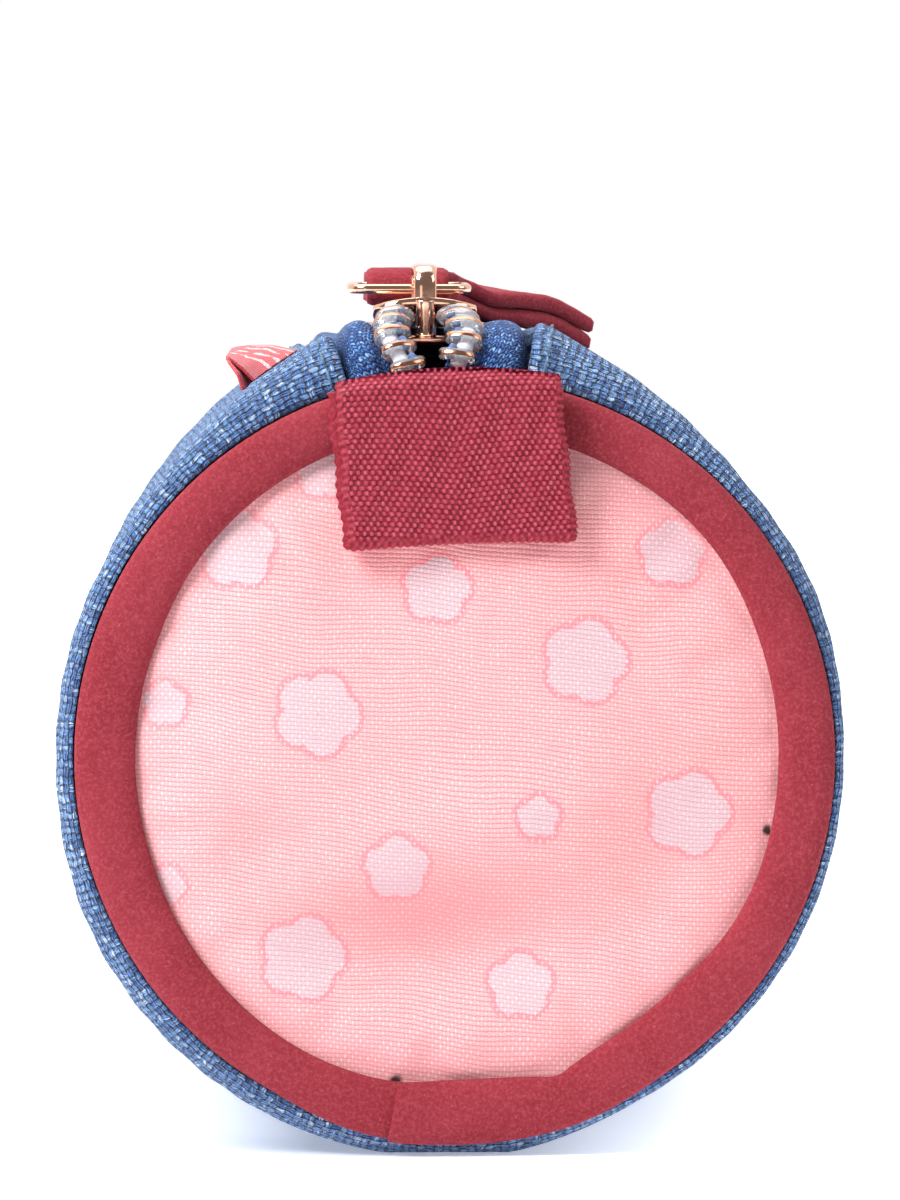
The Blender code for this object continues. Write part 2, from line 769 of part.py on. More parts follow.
def make_tab(material):
    """Webbing folded into a loop, hanging from the seam over the binding and the panel."""
    face = CLEARANCE + BINDING_THICKNESS + CLEARANCE
    gap = CLEARANCE
    back, middle = face, face + TAB_THICKNESS
    front = middle + gap
    # place in front of the case and share of the tab's length, down the back and up the front
    bottom = 1 - (TAB_THICKNESS + gap / 2) / TAB_LENGTH
    depth = TAB_THICKNESS + gap / 2
    inner = [(middle, 0.03), (middle, 0.3), (middle, 0.65), (middle, bottom)]
    outer = [(back, 0.03), (back, 0.3), (back, 0.65), (back, bottom)]
    for turn in (45, 90, 135):
        out = math.cos(math.radians(turn))
        down = math.sin(math.radians(turn)) / TAB_LENGTH
        inner.append((middle + gap / 2 - gap / 2 * out, bottom + gap / 2 * down))
        outer.append((middle + gap / 2 - depth * out, bottom + depth * down))
    inner += [(front, bottom), (front, 0.65), (front, 0.3), (front, 0.0)]
    reach = front + TAB_THICKNESS
    outer += [(reach, bottom), (reach, 0.65), (reach, 0.3), (reach - TAB_THICKNESS / 2, -0.02)]
    grids = []
    for line in (outer, inner):
        grid = []
        for out, down in line:
            row = []
            for share in (-0.5, -0.3, -0.1, 0.1, 0.3, 0.5):
                across = TAB_WIDTH * share
                top = math.sqrt((SEAM_RADIUS + CLEARANCE) ** 2 - across**2)
                top += (SEAM_RADIUS - top) * (1 - TAB_ARCH)
                row.append(Vector((across, -out, top - TAB_LENGTH * down)))
            grid.append(row)
        grids.append(grid)
    mesh = make_mesh("front_tab", *sheet_mesh(*grids), material)
    return place_object("front_tab", mesh, (-TAB_OFFSET, FRONT, AXIS_HEIGHT))


def make_label(material):
    """Small ribbon folded into a loop that stands out from the fabric on the left."""

    def on_body(degrees):
        turn = math.radians(degrees)
        radius = outer_radius(turn) + CLEARANCE
        return radius * math.sin(turn), radius * math.cos(turn)

    upper, lower = on_body(LABEL_UPPER), on_body(LABEL_LOWER)
    turn = math.radians(LABEL_TIP)
    out = outer_radius(turn) + LABEL_REACH
    tip = (out * math.sin(turn), out * math.cos(turn))
    line = [upper, ((upper[0] * 0.45 + tip[0] * 0.55), (upper[1] * 0.45 + tip[1] * 0.55))]
    line += [(tip[0] + LABEL_THICKNESS * 0.8, tip[1] + LABEL_THICKNESS * 0.1)]
    line += [(tip[0] + LABEL_THICKNESS * 0.3, tip[1] - LABEL_THICKNESS * 0.9)]
    line += [(lower[0] + LABEL_THICKNESS * 0.5, lower[1] + LABEL_THICKNESS * 0.4)]
    over = offset_line(line, -LABEL_THICKNESS)
    grids = []
    for section in (over, line):
        grid = []
        for across, height in section:
            grid.append([Vector((across, along, height)) for along in (0, LABEL_WIDTH)])
        grids.append(grid)
    mesh = make_mesh("side_label", *sheet_mesh(*grids), material)
    return place_object("side_label", mesh, (0, FRONT + LABEL_SETBACK, AXIS_HEIGHT))


for item in list(bpy.data.objects):
    bpy.data.objects.remove(item)

blue_fabric = add_material("blue_fabric", (0.10, 0.20, 0.42), 0.85)
pink_print = add_material("pink_print", (0.95, 0.50, 0.53), 0.6)
burgundy_suede = add_material("burgundy_suede", (0.42, 0.04, 0.07), 0.9)
burgundy_webbing = add_material("burgundy_webbing", (0.36, 0.02, 0.05), 0.6)
blue_tape = add_material("blue_tape", (0.08, 0.22, 0.50), 0.8)
clear_coil = add_material("clear_coil", (0.75, 0.66, 0.62), 0.25)
rose_gold = add_material("rose_gold", (0.86, 0.56, 0.44), 0.15, 1.0)
red_ribbon = add_material("red_ribbon", (0.72, 0.10, 0.12), 0.5)

make_body(blue_fabric)
make_ends(pink_print, burgundy_suede)
for side_name, zip_side in (("left", -1), ("right", 1)):
    make_tape("tape_" + side_name, zip_side, blue_tape)
    make_coil("coil_" + side_name, zip_side, clear_coil)
make_slider(rose_gold)
pull_axis = place_object("pull_axis", None, PULL_PLACE)
make_ring(rose_gold, pull_axis)
make_strap(burgundy_suede, pull_axis)
make_tab(burgundy_webbing)
make_label(red_ribbon)
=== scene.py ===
# Round pencil case: soft blue body, printed round ends, coil zip with a suede pull.
# Everything is in metres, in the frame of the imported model.

import math

import bpy
import numpy as np
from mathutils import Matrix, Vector


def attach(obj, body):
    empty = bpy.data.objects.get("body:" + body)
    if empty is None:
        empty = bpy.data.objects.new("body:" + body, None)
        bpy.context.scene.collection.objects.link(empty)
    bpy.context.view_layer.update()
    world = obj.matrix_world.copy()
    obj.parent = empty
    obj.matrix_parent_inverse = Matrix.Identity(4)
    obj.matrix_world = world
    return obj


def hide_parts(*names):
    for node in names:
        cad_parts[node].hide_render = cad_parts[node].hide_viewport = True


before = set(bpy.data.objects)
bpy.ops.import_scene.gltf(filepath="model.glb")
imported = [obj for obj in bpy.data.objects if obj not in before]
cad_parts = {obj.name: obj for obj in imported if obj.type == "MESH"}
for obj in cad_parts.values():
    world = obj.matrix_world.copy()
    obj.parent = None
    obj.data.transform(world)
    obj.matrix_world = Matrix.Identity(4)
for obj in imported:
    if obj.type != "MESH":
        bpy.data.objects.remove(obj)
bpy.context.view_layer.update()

mm = 0.001
turnFull = 2 * math.pi


# Small helpers for curves and tables

def ease(share):
    share = np.clip(share, 0, 1)
    return share * share * (3 - 2 * share)


def between(low, high, place):
    # 0 before low, 1 after high
    return ease((place - low) / (high - low))


def tableSpot(rows, place):
    # keys and values of the rows, the row before each place and the share of the way to the next
    table = np.array(rows, float)
    keys, values = table[:, 0], table[:, 1:]
    place = np.clip(np.asarray(place, float), keys[0], keys[-1])
    low = np.clip(np.searchsorted(keys, place, side="right") - 1, 0, len(keys) - 2)
    return keys, values, low, ((place - keys[low]) / (keys[low + 1] - keys[low]))[..., None]


def readTable(rows, place):
    # values between the rows, eased, as the solids were made
    keys, values, low, share = tableSpot(rows, place)
    return values[low] + (values[low + 1] - values[low]) * ease(share)


def flowTable(rows, place):
    # values on a smooth curve through the rows
    keys, values, low, t = tableSpot(rows, place)
    slope = np.gradient(values, keys, axis=0)
    gap = (keys[low + 1] - keys[low])[..., None]
    return (
        (2 * t**3 - 3 * t**2 + 1) * values[low]
        + (t**3 - 2 * t**2 + t) * gap * slope[low]
        + (3 * t**2 - 2 * t**3) * values[low + 1]
        + (t**3 - t**2) * gap * slope[low + 1]
    )


def unit(vectors):
    # the same directions at length 1
    return vectors / np.maximum(np.linalg.norm(vectors, axis=-1, keepdims=True), 1e-12)


def together(*parts):
    # numbers and rows of them side by side, as the last side of one array
    return np.stack(np.broadcast_arrays(*parts), axis=-1)


def clothAt(across, along):
    # how far across and along its cloth each point lies, for the weave
    return {"weaveAt": together(across, along, 0.0) / mm}


def squared(wave, power):
    # a wave drawn towards a square one, for rounded boxes
    return np.sign(wave) * np.abs(wave) ** power


def fullTurn(count):
    return np.arange(count) * turnFull / count


def walked(points):
    # length along each line of points
    steps = np.linalg.norm(np.diff(points, axis=0), axis=-1)
    return np.concatenate([0 * steps[:1], np.cumsum(steps, axis=0)])


def onLine(walk, values, places):
    # points at these lengths along a line
    return together(*(np.interp(places, walk, column) for column in values.T))


def smoothLine(knots, count, rounds):
    # an even line through the knots with its corners worn off: lengths, points and normals
    walk = walked(knots)
    fine = np.linspace(0, walk[-1], count)
    line = onLine(walk, knots, fine)
    for _ in range(rounds):
        line[1:-1] = line[1:-1] * 0.5 + (line[:-2] + line[2:]) * 0.25
    slope = unit(np.gradient(line, axis=0))
    return fine, line, together(-slope[:, 1], slope[:, 0])


def ripple(seed, count, x, y, low, high):
    # a few soft waves in two directions, always the same for the same seed
    draw = np.random.default_rng(seed)
    total = 0
    for _ in range(count):
        a, b = draw.uniform(low, high), draw.uniform(low, high)
        p, q = draw.uniform(0, turnFull, 2)
        total = total + np.sin(a * x + p) * np.sin(b * y + q)
    return total / math.sqrt(count)


# Meshes

def putInScene(name, data):
    thing = bpy.data.objects.new(name, data)
    bpy.context.scene.collection.objects.link(thing)
    return thing


def addPiece(name, points, faces, body="case", nodes=(), slot=None, finish=None, values=None):
    mesh = bpy.data.meshes.new(name)
    points = np.asarray(points, np.float32)
    mesh.vertices.add(len(points))
    mesh.vertices.foreach_set("co", points.ravel())
    sizes = np.array([len(face) for face in faces], np.int32)
    starts = np.concatenate([[0], np.cumsum(sizes)[:-1]]).astype(np.int32)
    corners = np.concatenate([np.asarray(face, np.int32) for face in faces])
    mesh.loops.add(len(corners))
    mesh.loops.foreach_set("vertex_index", corners)
    mesh.polygons.add(len(sizes))
    mesh.polygons.foreach_set("loop_start", starts)
    mesh.update(calc_edges=True)
    mesh.validate()
    mesh.shade_smooth()
    for label, data in (values or {}).items():
        data = np.asarray(data, np.float32)
        kind = "FLOAT" if data.ndim == 1 else "FLOAT_VECTOR"
        mesh.attributes.new(label, kind, "POINT").data.foreach_set(
            "value" if kind == "FLOAT" else "vector", data.ravel()
        )
    piece = putInScene(name, mesh)
    if finish:
        mesh.materials.append(finish)
    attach(piece, body)
    if nodes:
        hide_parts(*nodes)
    return piece


def loopFaces(rows, size, closed=False, cap="ladder"):
    # quads through rings of points; an open end gets a ladder of quads, one flat face or nothing
    ring = np.arange(size)
    after = (ring + 1) % size
    faces = []
    for row in range(rows if closed else rows - 1):
        here, there = row * size, ((row + 1) % rows) * size
        faces.append(together(here + ring, here + after, there + after, there + ring))
    if cap == "ladder" and not closed:
        half = np.arange(size // 2 - 1)
        low = together(half, size - 1 - half, size - 2 - half, half + 1)
        faces += [low, low[:, ::-1] + (rows - 1) * size]
    faces = np.concatenate(faces)
    return [*faces, ring[::-1], ring + (rows - 1) * size] if cap == "flat" else faces


def addLoops(name, loops, closed=False, cap="ladder", flip=False, values=None, **rest):
    # loops: rows x points x 3, with values for every point
    rows, size = loops.shape[:2]
    faces = loopFaces(rows, size, closed, cap)
    if flip:
        faces = faces[:, ::-1]
    flat = {label: data.reshape(rows * size, -1).squeeze() for label, data in (values or {}).items()}
    return addPiece(name, loops.reshape(-1, 3), faces, values=flat, **rest)


def tubeLoops(centres, outs, radius, sides, flat=1.0):
    # rings round a line of points; outs says which way is outwards, flat thins that way
    tangents = unit(np.gradient(centres, axis=-2))
    across = unit(np.cross(tangents, outs))
    outs = np.cross(across, tangents)
    turn = fullTurn(sides)
    radius = np.asarray(radius, float) * np.ones(centres.shape[:-1])
    ring = (
        np.cos(turn)[:, None] * outs[..., None, :] * flat
        + np.sin(turn)[:, None] * across[..., None, :]
    )
    return centres[..., None, :] + ring * radius[..., None, None]


def addTubes(name, groups, **rest):
    # several separate tubes of equal make in one piece
    points, faces, start = [], [], 0
    for loops in groups:
        rows, size = loops.shape[:2]
        points.append(loops.reshape(-1, 3))
        faces.append(loopFaces(rows, size) + start)
        start += rows * size
    return addPiece(name, np.concatenate(points), np.concatenate(faces), **rest)


# Shader maths

class Wire:
    # a socket that can stand in a sum
    def __init__(self, owner, socket):
        self.owner, self.socket = owner, socket

    def __add__(self, other):
        return self.owner.calc("ADD", self, other)

    __radd__ = __add__

    def __sub__(self, other):
        return self.owner.calc("SUBTRACT", self, other)

    def __rsub__(self, other):
        return self.owner.calc("SUBTRACT", other, self)

    def __mul__(self, other):
        return self.owner.calc("MULTIPLY", self, other)

    __rmul__ = __mul__

    def __truediv__(self, other):
        return self.owner.calc("DIVIDE", self, other)

    def __gt__(self, other):
        return self.owner.calc("GREATER_THAN", self, other)


class Board:
    # a node tree and the nodes laid on it
    def __init__(self, tree):
        self.nodes, self.links = tree.nodes, tree.links

    def put(self, socket, value):
        if isinstance(value, Wire):
            self.links.new(value.socket, socket)
        else:
            socket.default_value = value

    def node(self, kind, settings=None, inputs=None, output=0):
        made = self.nodes.new(kind)
        for key, value in (settings or {}).items():
            if key == "stops":
                ramp = made.color_ramp
                while len(ramp.elements) < len(value):
                    ramp.elements.new(0.5)
                for element, (place, colour) in zip(ramp.elements, value):
                    element.position, element.color = place, colour
            else:
                setattr(made, key, value)
        for key, value in (inputs or {}).items():
            self.put(made.inputs[key], value)
        return Wire(self, made.outputs[output])

    def calc(self, operation, *terms):
        return self.node("ShaderNodeMath", {"operation": operation}, dict(enumerate(terms)))

    def blend(self, share, first, second, mode="MIX"):
        settings = {"data_type": "RGBA", "blend_type": mode}
        return self.node("ShaderNodeMix", settings, {0: share, 6: first, 7: second}, 2)

    def rise(self, value, low, high, top=1.0):
        # 0 before low, top after high
        settings = {"interpolation_type": "SMOOTHSTEP"}
        return self.node("ShaderNodeMapRange", settings, {0: value, 1: low, 2: high, 3: 0.0, 4: top})

    def pick(self, choice, first, second):
        # the first where the choice is 0, the second where it is 1
        return self.node("ShaderNodeMix", None, {0: choice, 2: first, 3: second})

    def clip(self, value):
        # holds a value between -1 and 1
        return self.calc("MINIMUM", self.calc("MAXIMUM", value, -1), 1)

    def ramp(self, value, stops):
        return self.node("ShaderNodeValToRGB", {"stops": stops}, {0: value})

    def place(self):
        return self.node("ShaderNodeTexCoord", output=3)  # object space

    def value(self, label, output=2):
        # what the mesh carries under this label: output 2 is one number, 1 is three
        return self.node("ShaderNodeAttribute", {"attribute_name": label}, output=output)

    def absolute(self, value):
        return self.calc("ABSOLUTE", value)

    def floor(self, value):
        return self.calc("FLOOR", value)

    def cloth(self):
        # millimetres across and along the cloth
        return self.split(self.value("weaveAt", 1))[:2]

    def split(self, vector):
        made = self.node("ShaderNodeSeparateXYZ", inputs={0: vector})
        outputs = made.socket.node.outputs
        return [Wire(self, outputs[i]) for i in range(3)]

    def join(self, x, y=0.0, z=0.0):
        return self.node("ShaderNodeCombineXYZ", inputs={0: x, 1: y, 2: z})

    def noise(self, vector, scale, detail=2.0, rough=0.5):
        inputs = {"Vector": vector, "Scale": scale, "Detail": detail, "Roughness": rough}
        return self.node("ShaderNodeTexNoise", None, inputs)

    def chance(self, x, y):
        return self.node("ShaderNodeTexWhiteNoise", {"noise_dimensions": "2D"}, {"Vector": self.join(x, y)})


class Finish(Board):
    # one material, its shader and what feeds it
    def __init__(self, name, **surface):
        self.material = bpy.data.materials.new(name)
        self.material.use_nodes = True
        super().__init__(self.material.node_tree)
        self.shader = self.nodes["Principled BSDF"]
        for socket, value in surface.items():
            self.feed(socket.replace("_", " "), value)

    def feed(self, socket, value):
        self.put(self.shader.inputs[socket], value)

    def cover(self, colour, height, depth, strength=0.8):
        # the colour and a relief some millimetres deep
        inputs = {"Height": height, "Distance": depth * mm, "Strength": strength}
        self.feed("Normal", self.node("ShaderNodeBump", None, inputs))
        self.feed("Base Color", colour)
        return self.material


def weave(finish, u, v, pitchU, pitchV, roundness=(0.75, 0.75), flatness=1.0):
    # plain weave of two sets of yarns; u and v are in millimetres along the cloth
    a, b = u / pitchU, v / pitchV
    column, row = finish.floor(a), finish.floor(b)
    acrossWarp = (a - column - 0.5) * 2
    acrossWeft = (b - row - 0.5) * 2
    warpLift = finish.clip(finish.calc("SINE", (b + column) * math.pi) * flatness)
    weftLift = finish.clip(finish.calc("SINE", (a + row) * math.pi) * -flatness)
    warp = (1 - acrossWarp * acrossWarp * roundness[0]) + warpLift
    weft = (1 - acrossWeft * acrossWeft * roundness[1]) + weftLift
    onTop = warp > weft
    warpFloat = finish.floor((b + column) * 0.5)
    weftFloat = finish.floor((a + row + 1) * 0.5)
    yarnX = finish.pick(onTop, weftFloat, column + 0.31)
    yarnY = finish.pick(onTop, row + 0.77, warpFloat + 0.13)
    return {
        "height": finish.calc("MAXIMUM", warp, weft) * 0.5,
        "onTop": onTop,
        "yarn": finish.chance(yarnX, yarnY),
        "acrossWarp": acrossWarp,
        "acrossWeft": acrossWeft,
        "column": column,
        "row": row,
    }


def rgb(red, green, blue):
    # screen colour to the shader's linear colour
    parts = (c / 255 for c in (red, green, blue))
    return *(((c + 0.055) / 1.055) ** 2.4 if c > 0.04 else c / 12.92 for c in parts), 1


# Finishes

cloths = {
    "bluePitch": (0.84, 0.6),  # millimetres across one yarn
    "pinkPitch": (0.76, 0.46),
    "tapePitch": (0.62, 0.5),
}


def blueFabricFinish():
    f = Finish("blueMelange", Roughness=0.75, Sheen_Weight=0.5, Sheen_Roughness=0.3)
    f.feed("Sheen Tint", rgb(190, 212, 245))
    u, v = f.cloth()
    slow = f.noise(f.join(u, v), 0.13, 2)
    quick = f.noise(f.join(u, v, 7.0), 0.8, 2)
    other = f.noise(f.join(u, v, 3.0), 0.8, 2)
    u, v = u + (slow - 0.5) * 1.1 + (quick - 0.5) * 0.8, v + (other - 0.5) * 0.7
    cloth = weave(f, u, v, *cloths["bluePitch"], roundness=(1.7, 0.9), flatness=1.15)
    onTop = cloth["onTop"]
    # two slubby strands side by side in each yarn
    strandU = f.absolute(f.calc("SINE", (cloth["acrossWarp"] + 1) * math.pi))
    strandV = f.absolute(f.calc("SINE", (cloth["acrossWeft"] + 1) * math.pi))
    strand = f.pick(onTop, strandV, strandU)
    warpSide = f.chance(cloth["column"] * 2 + (cloth["acrossWarp"] > 0), 1.5)
    weftSide = f.chance(cloth["row"] * 2 + (cloth["acrossWeft"] > 0), 8.5)
    side = f.pick(onTop, weftSide, warpSide)
    streakU = f.noise(f.join(u * 7.5, v * 0.9), 1.0, 3, 0.65)
    streakV = f.noise(f.join(u * 0.9, v * 7.5), 1.0, 3, 0.65)
    streak = f.pick(onTop, streakV, streakU)
    tone = (cloth["yarn"] - 0.5) * 0.35 + (side - 0.5) * 0.3 + (streak - 0.5) * 2.2 + 0.52
    colour = f.ramp(tone, [
        (0.02, rgb(22, 38, 84)),
        (0.28, rgb(44, 80, 142)),
        (0.50, rgb(76, 120, 182)),
        (0.74, rgb(122, 164, 214)),
        (0.98, rgb(218, 232, 248)),
    ])
    # painted shade: the hollows between the yarns are darkened
    hollow = f.rise(cloth["height"] + strand * 0.16 + (streak - 0.5) * 0.5, 0.36, 0.82)
    height = cloth["height"] + strand * 0.25 + streak * 0.16
    return f.cover(f.blend(hollow, rgb(20, 34, 74), colour), height, 0.6, 1.0)


def pinkPrintFinish():
    f = Finish("pinkFlowerPrint", Roughness=0.5, Sheen_Weight=0.1, Sheen_Roughness=0.4)
    u, v = f.cloth()
    bend = f.noise(f.join(u, v), 0.06, 1)
    quick = f.noise(f.join(u, v, 5.0), 0.9, 2)
    u, v = u + (quick - 0.5) * 0.3, v + (bend - 0.5) * 3.2 + (quick - 0.5) * 0.2
    # plump yarns lying across, each held down by thin upright ones, staggered from row to row
    pitchU, pitchV = cloths["pinkPitch"]
    b = v / pitchV
    row = f.floor(b)
    a = u / pitchU + f.calc("FRACT", row * 0.5)
    column = f.floor(a)
    across = f.absolute((a - column - 0.5) * 2)
    # each float is a lens whose ends make room for the ones above and below
    down = f.absolute((b - row - 0.5) * 2)
    swell = f.calc("COSINE", across * math.pi) * 0.26 + 1
    upright = down * down
    down = f.calc("MINIMUM", down / swell, (2 - down) / (2 - swell))
    flat = down * down
    pillow = (1 - flat * 0.95) * (1 - f.rise(across, 0.55, 1.0, 0.4))
    yarn = f.chance(column, row)
    spark = f.rise(across, 0.7, 0.92) * (1 - upright * upright * 0.7) * (yarn * 0.7 + 0.3)
    nearSeam = f.value("nearSeam")
    # the print soaks a little along the yarns
    flower = f.value("flowerEdge") + (pillow - 0.6) * 0.12 + (yarn - 0.5) * 0.2
    petal = f.rise(flower, -0.08, 0.08)
    outline = f.rise(flower, -0.75, -0.4) * (1 - f.rise(flower, -0.05, 0.1))
    tone = f.noise(f.join(u, v), 0.12, 3)
    base = f.blend(tone, rgb(248, 166, 168), rgb(253, 180, 182))
    printed = f.blend(outline * 0.75, base, rgb(244, 138, 148))
    petalColour = f.blend(tone, rgb(225, 177, 184), rgb(233, 189, 195))
    printed = f.blend(petal, printed, petalColour)
    deep = f.blend(petal, rgb(222, 108, 118), rgb(184, 148, 160))
    shaded = f.blend(f.rise(pillow, 0.12, 0.7), deep, printed)
    # painted shade beside the binding: the cloth is greyed near the seam
    shaded = f.blend(nearSeam * 0.3, shaded, rgb(206, 150, 156))
    # painted shade: where the front end's cloth dents, its colour is darkened and the painted highlights on
    # its upright yarns are weakened
    hollow = f.value("hollow")
    dentShade = f.blend(petal, rgb(240, 136, 138), rgb(206, 164, 172))
    shaded = f.blend(hollow * 0.6, shaded, dentShade)
    spark = spark * (1 - hollow * 0.5)
    # painted highlight: the upright yarns' tops are whitened; they are also glossier and stand higher
    lit = f.blend(spark * 0.7, shaded, rgb(255, 240, 238))
    # painted shade where the seam gapes: the cloth is painted nearly black there
    gap = f.rise(f.value("seamGap"), 0.2, 0.7)
    f.feed("Roughness", 0.62 - spark * 0.3)
    height = (pillow + spark * 0.5) * (1 - nearSeam * 0.85)
    return f.cover(f.blend(gap, lit, rgb(52, 22, 26)), height, 0.065)


def suedeFinish():
    f = Finish("burgundySuede", Roughness=0.95, Sheen_Weight=0.2, Sheen_Roughness=0.3)
    f.feed("Sheen Tint", rgb(236, 150, 160))
    place = f.place()
    broad = f.noise(place, 110, 3, 0.6)
    nap = f.noise(place, 3000, 2, 0.7)
    speck = f.noise(place, 4200, 1, 0.5)
    colour = f.blend(f.rise(broad, 0.3, 0.7), rgb(132, 28, 42), rgb(142, 38, 52))
    colour = f.blend(f.rise(nap, 0.4, 0.74, 0.42), colour, rgb(180, 78, 88))
    colour = f.blend(f.rise(speck, 0.68, 0.8, 0.35), colour, rgb(204, 116, 128))
    colour = f.blend((1 - f.rise(nap, 0.2, 0.44)) * 0.4, colour, rgb(108, 18, 32))
    return f.cover(colour, nap + broad * 0.6, 0.09)


def webbingFinish():
    f = Finish("burgundyWebbing", Roughness=0.5, Specular_IOR_Level=0.25)
    crest = f.value("crest")
    place = f.place()
    fibre = f.noise(place, 2600, 2, 0.6)
    # painted highlight on the knots' tops and painted shade between them, over the real relief
    colour = f.ramp(crest, [
        (0.0, rgb(62, 2, 14)),
        (0.24, rgb(112, 8, 26)),
        (0.5, rgb(136, 16, 36)),
        (0.78, rgb(166, 48, 70)),
        (1.0, rgb(184, 80, 106)),
    ])
    colour = f.blend(f.rise(fibre, 0.35, 0.7, 0.2), colour, rgb(206, 96, 118))
    f.feed("Roughness", 0.62 - crest * 0.22)
    return f.cover(colour, fibre, 0.05, 0.6)


def tapeFinish():
    f = Finish("blueZipTape", Roughness=0.5)
    u, v = f.cloth()
    wobble = f.noise(f.join(u, v), 0.8, 2)
    u, v = u + (wobble - 0.5) * 0.3, v + (wobble - 0.5) * 0.3
    pitchU, pitchV = cloths["tapePitch"]
    # knitted wales: each is a column of small chevrons
    a = u / pitchU
    column = f.floor(a)
    side = f.absolute((a - column - 0.5) * 2)
    rowAt = v / pitchV + side * 0.55 + f.chance(column, 3.5) * 0.6
    row = f.floor(rowAt)
    acrossRow = (rowAt - row - 0.5) * 2
    stitch = 1 - acrossRow * acrossRow * 0.9
    wale = 1 - (side * 2 - 1) * (side * 2 - 1) * 0.6
    height = stitch * wale
    leg = f.chance(column * 2 + ((a - column) > 0.5), row)
    fine = f.noise(f.join(u * 5, v * 5), 1.0, 3, 0.65)
    colour = f.ramp((leg - 0.5) * 0.7 + (fine - 0.5) * 1.7 + 0.45, [
        (0.0, rgb(12, 44, 104)),
        (0.35, rgb(30, 86, 162)),
        (0.65, rgb(64, 126, 200)),
        (0.85, rgb(118, 172, 232)),
        (1.0, rgb(186, 218, 250)),
    ])
    # painted shade in the hollows between the stitches
    colour = f.blend(f.rise(height, 0.2, 0.8), rgb(8, 30, 84), colour)
    return f.cover(colour, height + fine * 0.25, 0.28, 1.0)


def coilFinish():
    f = Finish("clearCoil", Transmission_Weight=0.85, IOR=1.46)
    gold = f.rise(f.value("goldFace"), 0.9, 0.93)
    streak = f.noise(f.place(), 1500, 2, 0.6)
    clear = f.blend(streak, rgb(226, 230, 238), rgb(252, 252, 254))
    plating = f.blend(streak, rgb(206, 132, 100), rgb(232, 172, 142))
    f.feed("Base Color", f.blend(gold, clear, plating))
    f.feed("Metallic", gold)
    f.feed("Roughness", gold * 0.1 + streak * 0.08 + 0.05)
    return f.material


def threadFinish(name, dark, light, grain, detail=2, rough=0.6, relief=0.06, **surface):
    f = Finish(name, **surface)
    ply = f.noise(f.place(), grain, detail, rough)
    return f.cover(f.blend(ply, dark, light), ply, relief)


def roseGoldFinish():
    f = Finish("roseGold", Metallic=1.0)
    smear = f.noise(f.place(), 260, 4, 0.6)
    pit = f.noise(f.place(), 2400, 2, 0.6)
    f.feed("Roughness", f.rise(smear, 0.3, 0.8, 0.1) + pit * 0.06 + 0.06)
    return f.cover(f.blend(smear, rgb(236, 178, 150), rgb(246, 200, 176)), pit, 0.01, 0.25)


def ribbonFinish():
    f = Finish("redRibbon", Roughness=0.45, Sheen_Weight=0.2)
    u, v = f.cloth()
    cloth = weave(f, u, v, 0.2, 0.22)
    # plain woven stripes along the ribbon
    wander = f.noise(f.join(u, v * 0.3), 0.9, 2)
    across = f.absolute(f.calc("FRACT", v / 1.7 + (wander - 0.5) * 0.9) - 0.5)
    broken = f.rise(f.noise(f.join(u, v, 3.0), 0.8, 2), 0.42, 0.46)
    inside = (1 - f.rise(u, 4.4, 4.7)) * f.rise(v, 4.2, 4.6) * (1 - f.rise(v, 10.4, 10.6))
    stripe = f.rise(across, 0.3, 0.36) * broken * inside
    colour = f.blend(stripe * 0.85, rgb(222, 84, 92), rgb(252, 226, 224))
    shade = f.blend(stripe, rgb(176, 40, 52), rgb(226, 140, 142))
    colour = f.blend(f.rise(cloth["height"], 0.3, 0.7), shade, colour)
    return f.cover(colour, cloth["height"], 0.08, 0.7)


def floorFinish():
    f = Finish("paleGlowingFloor", Roughness=0.3, Emission_Strength=1.0)
    x, y, _ = f.split(f.place())
    away = f.calc("SQRT", x * x + y * y)
    pale = f.blend(f.noise(f.place(), 6, 2), (0.88, 0.89, 0.91, 1), (0.91, 0.92, 0.94, 1))
    # the floor in front gives less light back
    f.feed("Base Color", f.blend(f.rise(y, -0.24, -0.15), (0.62, 0.63, 0.65, 1), pale))
    # painted light: the floor glows, less near the case so its shadow stays, more further off and to the
    # right, and hardly at all in a band in front
    away = away + f.calc("MAXIMUM", x, 0.0) * 4
    glow = f.blend(f.rise(away, 0.1, 0.24), (0.3, 0.32, 0.36, 1), (0.92, 0.92, 0.92, 1))
    share = f.calc("MAXIMUM", f.rise(y, -0.15, -0.1), 1 - f.rise(y, -0.6, -0.3))
    f.feed("Emission Color", f.blend(share, (0.04, 0.04, 0.04, 1), glow))
    return f.material


blueFabric, pinkPrint, suede = blueFabricFinish(), pinkPrintFinish(), suedeFinish()
webbing, zipTape, coilPlastic = webbingFinish(), tapeFinish(), coilFinish()
coilCord = threadFinish(
    "whiteCoilCord", rgb(176, 178, 190), rgb(242, 242, 246), 2200, 3, 0.7, 0.1, Roughness=0.8
)
thread = threadFinish(
    "blueThread", rgb(30, 54, 104), rgb(92, 128, 184), 1800, Roughness=0.7, Sheen_Weight=0.3
)
paleThread = threadFinish(
    "paleBlueThread", rgb(40, 70, 106), rgb(88, 126, 152), 2000, Roughness=0.7, Sheen_Weight=0.3
)
roseGold, ribbon = roseGoldFinish(), ribbonFinish()
print("finishes made")


# The case's own form, as in its solids

